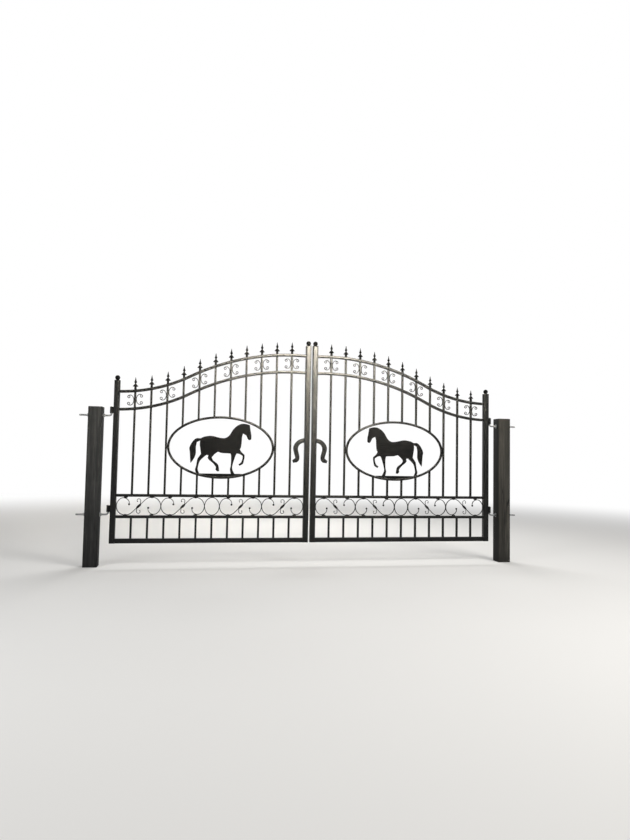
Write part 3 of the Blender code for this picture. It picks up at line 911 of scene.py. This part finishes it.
sScroll = {
    "bar": 0.0065,
    "depth": 0.012,
    "corner": 0.0018,
    "taper": (0.75, 0.03),
    "ringWidth": 0.142,
    "ringSteps": 72,
    "weld": 0.004,
    "eyeShare": 0.58,
    "eyePower": 1.3,
    "eyeDegrees": -152,
    "curlDegrees": -60,
    "spanShare": 2.37,
    "stemSteps": 4,
    "steps": 44,
    "bud": 0.0095,
    "leafLong": 0.062,
    "leafWide": 0.023,
    "leafThick": 0.015,
    "sprigX": 0.0175,
    "sprigTopShare": 0.82,
    "sprigTop": 0.008,
    "sprigFoot": 0.050,
    "sprigHook": 0.019,
    "sprigTightens": 0.35,
    "sprigDegrees": 215,
    "sprigSteps": (6, 16),  # down its stem and round its hook
    "sprigRadius": 0.0034,
    "sprigTaper": 0.015,
    "sprigBud": 0.0054,
    "lump": (0.020, 0.0065, 0.012),  # the welds that hold the lobes to the rails
}


def sScrollLine(lobe, centre):
    # half of a lying S from its middle, and the middle's lean
    lean = math.asin(lobe / centre)
    run = math.sqrt(centre ** 2 - lobe ** 2)
    stem = sScroll["stemSteps"]
    points = []
    for step in range(stem + 1):
        points.append((run * math.cos(lean) * step / stem, run * math.sin(lean) * step / stem))
    first = math.pi / 2 + lean
    eye = math.radians(sScroll["eyeDegrees"])
    curlStart = math.radians(sScroll["curlDegrees"])
    for step in range(1, sScroll["steps"] + 1):
        angle = first + (eye - first) * step / sScroll["steps"]
        radius = lobe
        if angle < curlStart:
            wound = ((curlStart - angle) / (curlStart - eye)) ** sScroll["eyePower"]
            radius *= 1 - sScroll["eyeShare"] * wound
        points.append((centre + radius * math.cos(angle), radius * math.sin(angle)))
    return points, lean


def sprigLine():
    # a small branch that falls from the leaf and hooks inwards near the rail
    drop = sScroll["sprigFoot"] - sScroll["sprigTop"]
    near = sScroll["sprigTopShare"]
    down, around = sScroll["sprigSteps"]
    points = []
    for step in range(down):
        share = step / down
        x = -sScroll["sprigX"] * (near + (1 - near) * share)
        points.append((x, -sScroll["sprigTop"] - drop * share))
    for step in range(around + 1):
        turn = math.pi + math.radians(sScroll["sprigDegrees"]) * step / around
        radius = sScroll["sprigHook"] * (1 - sScroll["sprigTightens"] * step / around)
        x = sScroll["sprigHook"] - sScroll["sprigX"] + radius * math.cos(turn)
        points.append((x, radius * math.sin(turn) - sScroll["sprigFoot"]))
    return points


def bandPattern(span, height):
    shape = bmesh.new()
    lobe = (height - sScroll["bar"]) / 2
    centre = (sScroll["spanShare"] - 1) * height / 2
    stretch = (span - sScroll["bar"]) / (sScroll["spanShare"] * height - sScroll["bar"])
    half, lean = sScrollLine(lobe, centre)
    half = [(stretch * x, z) for x, z in half]
    line = [(-x, -z) for x, z in half[:0:-1]] + half
    sweep(shape, line, scrollSection(sScroll), sizes=tapered(sScroll, line))
    for x, z in (line[0], line[-1]):
        addBud(shape, (x, 0.0, z), (sScroll["bud"],) * 3)
    leaf = (sScroll["leafLong"] / 2, sScroll["leafThick"] / 2, sScroll["leafWide"] / 2)
    addBud(shape, (0.0, 0.0, 0.0), leaf, -lean)
    radius = sScroll["sprigRadius"]
    for sign in (-1, 1):
        branch = [(sign * x, sign * z) for x, z in sprigLine()]
        thin = [1.0 - sScroll["sprigTaper"] * index for index in range(len(branch))]
        sweep(shape, branch, ellipse(0.0, 0.0, radius, radius, 10), sizes=thin)
        x, z = branch[-1]
        addBud(shape, (x, 0.0, z), (sScroll["sprigBud"],) * 3, sides=10)
        for edge in (-1, 1):
            addBud(shape, (sign * stretch * centre, 0.0, edge * height / 2), sScroll["lump"])
    return newMesh(shape)


bandLow = lowerRailZ + halfRail
bandHigh = midRailZ - halfRail
bandHeight = bandHigh - bandLow
bandZ = (bandLow + bandHigh) / 2
bandSpan = (insideWidth - sScroll["ringWidth"] + 4 * sScroll["weld"]) / 4
bandStep = bandSpan - sScroll["weld"]
afterRing = 2 * bandStep + sScroll["ringWidth"] - sScroll["weld"]
bandPlaces = []
for start in (0.0, bandStep, afterRing, afterRing + bandStep):
    bandPlaces.append((insideStart + start + bandSpan / 2, 0.0, bandZ))
points = pointMesh(bandPlaces, [(0.0, 0.0, 0.0)] * 4)
band = bmesh.new()
band.from_mesh(growPattern(patternTree, bandPattern(bandSpan, bandHeight), gatePaint, start=points))
ringX = insideStart + 2 * bandStep + sScroll["ringWidth"] / 2
ringHalf = (sScroll["ringWidth"] - sScroll["bar"]) / 2
ringTall = (bandHeight - sScroll["bar"]) / 2
ringLine = ellipse(ringX, bandZ, ringHalf, ringTall, sScroll["ringSteps"])
sweep(band, ringLine, scrollSection(sScroll), closed=True)
showPair("scroll_band_iron", newMesh(band), "gate_paint", "scroll_band")
print("scroll band made")


ovalLook = {"bar": 0.022, "corner": 0.0045, "steps": 128}
oval = bmesh.new()
halfBar = ovalLook["bar"] / 2
ovalReach = (ovalHalfWidth - halfBar, ovalHalfHeight - halfBar)
ovalLine = ellipse(ovalX, ovalZ, *ovalReach, ovalLook["steps"])
sweep(oval, ovalLine, roundedSection(ovalLook["bar"], ovalDepth, ovalLook["corner"]), closed=True)
showPair("oval_band", newMesh(oval), "gate_paint", "oval_ring")

plateLook = {
    "edge": 0.0009,
    "bevelSteps": 2,
    "rounds": 2,
    "cornerDegrees": 38,
    "merge": 0.00001,
    "front": -0.9,  # a face's normal on Y, at most, on the front
}


def outlinesOf(node):
    # the closed outlines of a flat node's front, from a merged copy of its mesh
    shape = bmesh.new()
    shape.from_mesh(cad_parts[node].data)
    bmesh.ops.remove_doubles(shape, verts=shape.verts, dist=plateLook["merge"])
    shape.normal_update()
    front = [face for face in shape.faces if face.normal.y < plateLook["front"]]
    members = set(front)
    following = {}
    for face in front:
        for loop in face.loops:
            if sum(other in members for other in loop.edge.link_faces) == 1:
                following[loop.vert] = loop.link_loop_next.vert
    outlines = []
    while following:
        start, step = following.popitem()
        line = [start]
        while step is not start:
            line.append(step)
            step = following.pop(step)
        outlines.append([(vert.co.x, vert.co.z) for vert in line])
    shape.free()
    return outlines


def rounded(outline):
    # runs a smooth line through an outline's points and leaves its real corners sharp
    points = [Vector(point) for point in outline]
    sharp = []
    for index, point in enumerate(points):
        before = point - points[index - 1]
        after = points[(index + 1) % len(points)] - point
        sharp.append(before.angle(after, 0.0) > math.radians(plateLook["cornerDegrees"]))
    for _ in range(plateLook["rounds"]):
        finer = []
        finerSharp = []
        count = len(points)
        for index in range(count):
            here, after = points[index], points[(index + 1) % count]
            before = here if sharp[index] else points[index - 1]
            beyond = after if sharp[(index + 1) % count] else points[(index + 2) % count]
            finer += [here, (here + after) * 9 / 16 - (before + beyond) / 16]
            finerSharp += [sharp[index], False]
        points, sharp = finer, finerSharp
    return points


def outlineCurve(node, bevel, inset, extrude=0.0, filled=False):
    # a mesh grown on a flat node's outlines: a plate when filled, or else a bead along its edge
    curve = bpy.data.curves.new("outline", "CURVE")
    curve.dimensions = "2D"
    curve.fill_mode = "BOTH" if filled else "NONE"
    curve.extrude = extrude
    curve.bevel_depth = bevel
    curve.bevel_resolution = plateLook["bevelSteps"]
    curve.offset = -inset
    for outline in outlinesOf(node):
        line = rounded(outline)
        spline = curve.splines.new("POLY")
        spline.points.add(len(line) - 1)
        for point, place in zip(spline.points, line):
            point.co = (place[0], place[1], 0.0, 1.0)
        spline.use_cyclic_u = True
    mesh = plainMesh(linked("outline", curve))
    mesh.transform(Matrix.Rotation(math.pi / 2, 4, "X"))
    return mesh


def softPlate(node, edge):
    # a flat node's plate again, with a smooth outline and softly rounded edges
    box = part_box(node)
    mesh = outlineCurve(node, edge, edge, sizeOf(box)[1] / 2 - edge, True)
    mesh.transform(Matrix.Translation((0.0, centreOf(box)[1], 0.0)))
    shape = bmesh.new()
    shape.from_mesh(mesh)
    return shape


horse = softPlate("left_horse_plate", plateLook["edge"])
showPair("horse_cutout", newMesh(horse), "cast_fittings", "horse_plate")

shoeLook = {
    "edge": 0.0028,
    "rim": 0.0034,
    "rimInset": 0.0052,
    "nail": (0.0052, 0.0032, 0.0052),
    # the nails on the left half, as shares of its width and height
    "nails": ((0.57, 0.89), (0.31, 0.745), (0.25, 0.58), (0.325, 0.41)),
}
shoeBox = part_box("left_horseshoe_half")
shoeWide, _, shoeTall = sizeOf(shoeBox)
shoe = softPlate("left_horseshoe_half", shoeLook["edge"])
for face in (shoeBox[0].y, shoeBox[1].y):
    rim = outlineCurve("left_horseshoe_half", shoeLook["rim"], shoeLook["rimInset"])
    rim.transform(Matrix.Translation((0.0, face, 0.0)))
    shoe.from_mesh(rim)
    for across, up in shoeLook["nails"]:
        nail = (shoeBox[0].x + across * shoeWide, face, shoeBox[0].z + up * shoeTall)
        addBud(shoe, nail, shoeLook["nail"])
showPair("horseshoe_iron", newMesh(shoe), "cast_fittings", "horseshoe_half", material=gatePaint)
print("oval, figure and centre ornament made")


capLook = {
    "base": 0.006,
    "footEase": 0.001,
    "topEase": 0.0022,
    "ball": 0.0225,
    "seatShare": 1.05,
    "neck": 0.0012,
    "neckShares": (0.62, 0.80),
    "sink": 0.002,
    "sides": 40,
    "rings": 24,
    "pole": 0.03,  # radians from the ball's top to its first ring
    "hidden": 0.75,  # radians of the half turn that the ball's rings leave out
    "footShare": 0.985,
    "topShare": 0.94,
}


def ballCap(node):
    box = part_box(node)
    x = centreOf(box)[0]
    foot = box[0].z
    base = capLook["base"]
    shape = bmesh.new()
    levels = [(foot, capLook["footShare"]), (foot + capLook["footEase"], 1.0)]
    levels += [(foot + base - capLook["topEase"], 1.0), (foot + base, capLook["topShare"])]
    upright(shape, stileSection, x, levels)
    radius = capLook["ball"]
    centre = base + radius * capLook["seatShare"]
    profile = []
    for step in range(capLook["rings"]):
        turn = math.pi / 2 - capLook["pole"]
        turn -= (math.pi - capLook["hidden"]) * step / (capLook["rings"] - 1)
        profile.append((radius * math.cos(turn), centre + radius * math.sin(turn)))
    narrow, wide = [radius * share for share in capLook["neckShares"]]
    profile += [(narrow, base + capLook["neck"]), (wide, base), (wide, base - capLook["sink"])]
    lathe(shape, profile, x, foot, capLook["sides"])
    return newMesh(shape)


for stile in ("hinge_stile", "meeting_stile"):
    showPair(stile + "_cap", ballCap("left_" + stile + "_ball"), "cast_fittings", stile + "_ball")
print("ball caps made")


hingeSize = {
    "rod": 0.008,
    "rodSides": 24,
    "rodEase": (0.0012, 0.86),  # the threaded end's chamfer: its length and the end's share
    "pinEase": (0.0016, 0.8),
    "bend": 0.020,
    "bendSteps": 14,
    "collar": 0.0135,
    "collarThick": 0.0025,
    "washer": 0.020,
    "washerThick": 0.003,
    "washerSides": 40,
    "nut": 0.012,  # across the flats, halved
    "nutThick": 0.013,
    "nutEase": 0.0022,
    "nutLimits": (0.97, 1.16),  # how far its faces and its corners reach
    "nutSides": 48,
    "gap": 0.0003,
    "threadPitch": 0.002,
    "threadCrest": 0.0007,
    "threadSteps": 16,
    "threadSides": 4,
    "threadSunk": 0.35,  # the share of the crest inside the rod
    "threadFrom": 0.001,
    "threadInside": 0.040,  # past the post's inner face
}

# where a washer's rings stand in its thickness, and each one's share of its radius
washerRings = ((0.0, 0.96), (0.2, 1.0), (0.8, 1.0), (1.0, 0.96))


def turnedOnX(shape, x, z, sides, levels, reach):
    # rings about the X axis, at each (distance along it, size)
    rings = []
    for along, size in levels:
        ring = []
        for turn in turnsOf(sides):
            far = reach(turn, size)
            ring.append((x + along, far * math.cos(turn), z + far * math.sin(turn)))
        rings.append(ring)
    joinRings(shape, rings)


def addNut(shape, x, z, thick):
    # a chamfered hexagon
    flat = hingeSize["nut"]
    ease = hingeSize["nutEase"]
    face, corner = hingeSize["nutLimits"]

    def reach(turn, limit):
        hexagon = flat / math.cos((turn + math.pi / 6) % (math.pi / 3) - math.pi / 6)
        return min(hexagon, flat * limit)

    levels = ((0.0, face), (ease, corner), (thick - ease, corner), (thick, face))
    turnedOnX(shape, x, z, hingeSize["nutSides"], levels, reach)


def addWasher(shape, x, z, thick):
    levels = [(thick * at, hingeSize["washer"] * share) for at, share in washerRings]
    turnedOnX(shape, x, z, hingeSize["washerSides"], levels, lambda turn, size: size)


def growThread():
    # a screw thread along X, from every vertex of the start mesh
    numbers = ("Radius", "Turns", "Length", "Crest")
    sheet, entry = openTree("screw thread", "Geometry", *numbers, "Material")
    spiral = sheet.node(
        "GeometryNodeCurveSpiral",
        Resolution=hingeSize["threadSteps"],
        Rotations=entry["Turns"],
        Start_Radius=entry["Radius"],
        End_Radius=entry["Radius"],
        Height=entry["Length"],
    )
    profile = circle(sheet, hingeSize["threadSides"], entry["Crest"])
    thread = sheet.node(
        "GeometryNodeCurveToMesh", Curve=spiral, Profile_Curve=profile, Fill_Caps=True
    )
    made = placed(sheet, entry["Geometry"], thread, (0.0, math.pi / 2, 0.0))
    return closeTree(sheet, entry, made)


def hingeIron(node):
    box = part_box(node)
    # the rod lies a washer's radius above the box's foot, and its pin stands at the box's inner end
    centreZ = box[0].z + hingeSize["washer"]
    pinX = box[1].x - hingeSize["collar"]
    bend = hingeSize["bend"]
    steps = hingeSize["bendSteps"]
    rodEase, rodShare = hingeSize["rodEase"]
    pinEase, pinShare = hingeSize["pinEase"]
    shape = bmesh.new()
    line = [(box[0].x, centreZ), (box[0].x + rodEase, centreZ)]
    for step in range(steps + 1):
        turn = math.pi / 2 * step / steps
        line.append((pinX - bend * (1 - math.sin(turn)), centreZ + bend * (1 - math.cos(turn))))
    line += [(pinX, box[1].z - pinEase), (pinX, box[1].z)]
    taper = [rodShare] + [1.0] * (steps + 3) + [pinShare]
    rod = hingeSize["rod"]
    sweep(shape, line, ellipse(0.0, 0.0, rod, rod, hingeSize["rodSides"]), sizes=taper)
    collar = hingeSize["collar"]
    thick = hingeSize["collarThick"]
    profile = [(collar * share, thick * at) for at, share in washerRings[::-1]]
    lathe(shape, profile, pinX, centreZ + bend, hingeSize["washerSides"])
    washerThick = hingeSize["washerThick"]
    nutThick = hingeSize["nutThick"]
    for face, side in ((leftPost[0].x, -1), (leftPost[1].x, 1)):
        inner = face + side * hingeSize["gap"]
        addWasher(shape, inner if side > 0 else inner - washerThick, centreZ, washerThick)
        nut = inner + side * washerThick
        addNut(shape, nut if side > 0 else nut - nutThick, centreZ, nutThick)
    whole = bmesh.new()
    whole.from_mesh(newMesh(shape))
    # threads on both sides of the post
    outside = (box[0].x + hingeSize["threadFrom"], leftPost[0].x)
    inside = (leftPost[1].x, leftPost[1].x + hingeSize["threadInside"])
    for start, end in (outside, inside):
        values = {
            "Radius": rod - hingeSize["threadCrest"] * hingeSize["threadSunk"],
            "Turns": (end - start) / hingeSize["threadPitch"],
            "Length": end - start,
            "Crest": hingeSize["threadCrest"],
            "Material": hingeZinc,
        }
        whole.from_mesh(grow(threadTree, values, pointMesh([(start, 0.0, centreZ)])))
    return newMesh(whole)


eyeSize = {
    "bore": 0.0092,
    "boreEase": 0.0008,
    "ease": 0.0012,
    "sides": 40,
    "webDepth": 0.012,
    "webCorner": 0.001,
    "webSunk": 0.003,  # into the eye
    "webShort": 0.006,  # of the eye, at each end
}


def hingeEye(node):
    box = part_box(node)
    radius = sizeOf(box)[1] / 2
    pinX = box[0].x + radius
    low, high = box[0].z, box[1].z
    bore, boreEase, ease = [eyeSize[key] for key in ("bore", "boreEase", "ease")]
    profile = (
        (bore + boreEase, low), (radius - ease, low), (radius, low + ease),
        (radius, high - ease), (radius - ease, high), (bore + boreEase, high),
        (bore, high - boreEase), (bore, low + boreEase),
    )
    shape = bmesh.new()
    lathe(shape, profile, pinX, 0.0, eyeSize["sides"], closed=True)
    start = pinX + radius - eyeSize["webSunk"]
    end = box[1].x + tubeLook["sink"]
    web = roundedSection(end - start, eyeSize["webDepth"], eyeSize["webCorner"], 2)
    short = eyeSize["webShort"]
    upright(shape, web, (start + end) / 2, [(low + short, 1.0), (high - short, 1.0)])
    return newMesh(shape)


threadTree = growThread()
for level in ("lower", "upper"):
    bolt = level + "_hinge_bolt"
    showPair(level + "_hinge_iron", hingeIron("left_" + bolt), "hinge_zinc", bolt, onPosts=True)
for level in ("lower", "upper"):
    lug = level + "_hinge_lug"
    showPair(level + "_hinge_eye", hingeEye("left_" + lug), "gate_paint", lug)
print("hinges made")


weldLook = {
    "bead": 0.0021,
    "sides": 6,
    "cornerSteps": 2,
    "steps": 36,
    "ripple": 0.0011,
    "rippleScale": 330.0,
    "seed": 3.0,
}


def growWelds():
    # a rippled bead round a rectangle, on every vertex of the start mesh
    numbers = ("Width", "Depth", "Bead", "Ripple", "Seed")
    sheet, entry = openTree("weld beads", "Geometry", *numbers, "Material")
    square = sheet.node(
        "GeometryNodeCurvePrimitiveQuadrilateral", Width=entry["Width"], Height=entry["Depth"]
    )
    corners = sheet.node(
        "GeometryNodeFilletCurve",
        Curve=square,
        Radius=entry["Bead"],
        Count=weldLook["cornerSteps"],
        mode="POLY",
    )
    even = sheet.node("GeometryNodeResampleCurve", Curve=corners, Count=weldLook["steps"])
    profile = circle(sheet, weldLook["sides"], entry["Bead"])
    bead = sheet.node("GeometryNodeCurveToMesh", Curve=even, Profile_Curve=profile)
    beads = placed(sheet, entry["Geometry"], bead, ownTurn(sheet))
    real = sheet.node("GeometryNodeRealizeInstances", Geometry=beads)
    rough = sheet.node(
        "ShaderNodeTexNoise",
        W=entry["Seed"],
        Scale=weldLook["rippleScale"],
        Detail=1.0,
        noise_dimensions="4D",
        output="Color",
    )
    centred = sheet.node("ShaderNodeVectorMath", rough, (0.5, 0.5, 0.5), operation="SUBTRACT")
    offset = sheet.node("ShaderNodeVectorMath", centred, Scale=entry["Ripple"], operation="SCALE")
    rippled = sheet.node("GeometryNodeSetPosition", Geometry=real, Offset=offset)
    return closeTree(sheet, entry, rippled)


picketWelds = []
picketTurns = []


def addWeld(x, z, slope=0.0):
    picketWelds.append((x, 0.0, z))
    picketTurns.append((0.0, -slope, 0.0))


for number in range(1, picketCount + 1):
    x = picketX(number)
    slope = archSlope(x)
    rise = halfRail / math.cos(slope)
    for drop in (0.0, leafSizes["archSpacing"]):
        addWeld(x, archZ(x) - drop - rise, slope)
        addWeld(x, archZ(x) - drop + rise, slope)
    addWeld(x, lowerRailZ - halfRail)
    addWeld(x, bottomZ + leafSizes["bottomRailHeight"] / 2)
    addWeld(x, midRailZ + halfRail)
    if endsOnOval(number):
        share = (x - ovalX) / ovalHalfWidth
        reach = ovalHalfHeight * math.sqrt(1 - share ** 2)
        tilt = math.atan(ovalHalfHeight / ovalHalfWidth * share / math.sqrt(1 - share ** 2))
        addWeld(x, ovalZ + reach, -tilt)
        addWeld(x, ovalZ - reach, tilt)
railWelds = []
bottomWelds = []
for x in (insideStart, insideEnd):
    for z in (archZ(x), archZ(x) - leafSizes["archSpacing"], midRailZ, lowerRailZ):
        railWelds.append((x, 0.0, z))
    bottomWelds.append((x, 0.0, bottomZ))
weldTree = growWelds()
welds = bmesh.new()
onSide = [(0.0, math.pi / 2, 0.0)]
deep = leafSizes["railDepth"]
for places, turns, width, depth in (
    (picketWelds, picketTurns, picketSide, picketSide),
    (railWelds, onSide * len(railWelds), leafSizes["railHeight"], deep),
    (bottomWelds, onSide * len(bottomWelds), leafSizes["bottomRailHeight"], deep),
):
    values = {"Width": width, "Depth": depth, "Bead": weldLook["bead"]}
    values.update(Ripple=weldLook["ripple"], Seed=weldLook["seed"], Material=gatePaint)
    welds.from_mesh(grow(weldTree, values, pointMesh(places, turns)))
showPair("weld_beads", newMesh(welds), "gate_paint")
print("weld beads made")


# the top's eased edge has a middle point, at a share of its height and a little outside a chamfer
postLook = {"arris": 0.005, "topEase": 0.0035, "easeHeight": 0.3, "easeSwell": 0.006}


def timberPost(node):
    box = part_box(node)
    side = sizeOf(box)[0]
    top = box[1].z
    ease = postLook["topEase"]
    share = 1 - 2 * ease / side
    between = (1 + share) / 2 + postLook["easeSwell"]
    levels = [(box[0].z, 1.0), (top - ease, 1.0)]
    levels += [(top - ease * postLook["easeHeight"], between), (top, share)]
    shape = bmesh.new()
    upright(shape, roundedSection(side, side, postLook["arris"], 4), centreOf(box)[0], levels)
    return newMesh(shape)


for side, timber in (("left_", leftTimberPaintedShade), ("right_", rightTimberPaintedSunlight)):
    node = side + "post"
    show(side + "timber_post", timberPost(node), "post_timber", "posts", [node], timber)
print("posts made")


shot = {
    "pixelsHigh": 840,
    "focalPixels": 631.0,
    "sensor": 36.0,
    "farthest": 200.0,
    "fromLeaf": (0.7871, -6.025, 0.8277),  # from the leaf's outer lower corner
    "yaw": 0.1797,
    "pitch": 0.0567,
    "roll": 0.0184,
}


def placeCamera():
    lens = bpy.data.cameras.new("camera")
    lens.sensor_fit = "VERTICAL"
    lens.sensor_height = shot["sensor"]
    lens.lens = shot["focalPixels"] / shot["pixelsHigh"] * shot["sensor"]
    lens.clip_end = shot["farthest"]
    camera = linked("camera", lens)
    yaw, tilt, roll = shot["yaw"], shot["pitch"], shot["roll"]
    ahead = Vector((math.sin(yaw) * math.cos(tilt), math.cos(yaw) * math.cos(tilt), math.sin(tilt)))
    level = Vector((math.cos(yaw), -math.sin(yaw), 0.0))
    over = level.cross(ahead)
    right = level * math.cos(roll) + over * math.sin(roll)
    up = -level * math.sin(roll) + over * math.cos(roll)
    turn = Matrix((right, up, -ahead)).transposed().to_4x4()
    corner = Vector((hingeStile[0].x, 0.0, underside))
    camera.matrix_world = Matrix.Translation(corner + Vector(shot["fromLeaf"])) @ turn
    bpy.context.scene.camera = camera


floorLook = {"colour": (0.80, 0.79, 0.77), "roughness": 0.9, "reach": 60.0, "fading": (4.0, 11.0)}


def addFloor():
    shape = bmesh.new()
    bmesh.ops.create_grid(shape, x_segments=2, y_segments=2, size=floorLook["reach"])
    mesh = bpy.data.meshes.new("floor")
    shape.to_mesh(mesh)
    shape.free()
    floor = linked("floor", mesh)
    floor.location = (gateMiddle, 0.0, 0.0)
    constants = {"Base Color": (*floorLook["colour"], 1.0), "Roughness": floorLook["roughness"]}
    finish, shader, place = newFinish("floor", constants)
    far = place.node("ShaderNodeVectorMath", place, operation="LENGTH", output="Value")
    seen = place.node("ShaderNodeLightPath", output="Is Camera Ray")
    amount = far.fade(*floorLook["fading"]) * seen
    glow = place.node("ShaderNodeEmission", Color=(1.0, 1.0, 1.0, 1.0), Strength=1.0)
    plain = Wire(finish.node_tree, shader.outputs[0])
    mixed = place.node("ShaderNodeMixShader", amount, plain, glow)
    leave = finish.node_tree.nodes["Material Output"]
    finish.node_tree.links.new(mixed.socket, leave.inputs["Surface"])
    mesh.materials.append(finish)


worldLook = {"light": 0.30, "seen": 1.0}


def setWorld():
    world = bpy.data.worlds.new("studio")
    bpy.context.scene.world = world
    world.use_nodes = True
    tree = world.node_tree
    camera = Wire(tree).node("ShaderNodeLightPath", output="Is Camera Ray")
    strength = camera * worldLook["seen"] + (1.0 - camera) * worldLook["light"]
    background = tree.nodes["Background"]
    background.inputs["Color"].default_value = (1.0, 1.0, 1.0, 1.0)
    tree.links.new(strength.socket, background.inputs["Strength"])


# place from the gate's middle, height aimed at, size, power, colour and, for a narrow beam, its
# spread in degrees
lampLook = {
    "key": ((3.4, -4.4, 4.6), 1.0, (2.6, 2.2), 265.0, (1.0, 0.985, 0.96)),
    "fill": ((-4.2, -3.6, 2.8), 1.0, (2.2, 2.8), 75.0, (0.96, 0.98, 1.0)),
    "rim": ((0.8, 4.2, 4.2), 1.0, (4.0, 1.6), 170.0, (1.0, 1.0, 1.0)),
    # the low sun that shines back from the tops of the stiles
    "sun": ((2.1, -12.0, 5.2), 3.2, (3.2, 2.2), 190.0, (1.0, 0.92, 0.76), 24),
    # the bright sky behind, seen in the rails' upper faces
    "sky": ((0.0, 9.5, 1.45), 1.0, (14.0, 1.2), 50.0, (1.0, 1.0, 1.0)),
}


def addLamp(name, place, aim, size, power, colour, spread=180):
    lamp = bpy.data.lights.new(name, "AREA")
    lamp.shape = "RECTANGLE"
    lamp.spread = math.radians(spread)
    lamp.size, lamp.size_y = size
    lamp.energy = power
    lamp.color = colour
    made = linked(name, lamp)
    made.location = (gateMiddle + place[0], place[1], place[2])
    away = made.location - Vector((gateMiddle, 0.0, aim))
    made.rotation_euler = away.to_track_quat("Z", "Y").to_euler()


placeCamera()
addFloor()
setWorld()
for name, lamp in lampLook.items():
    addLamp(name, *lamp)
bpy.context.scene.view_settings.view_transform = "Standard"
print("camera, light and floor set")
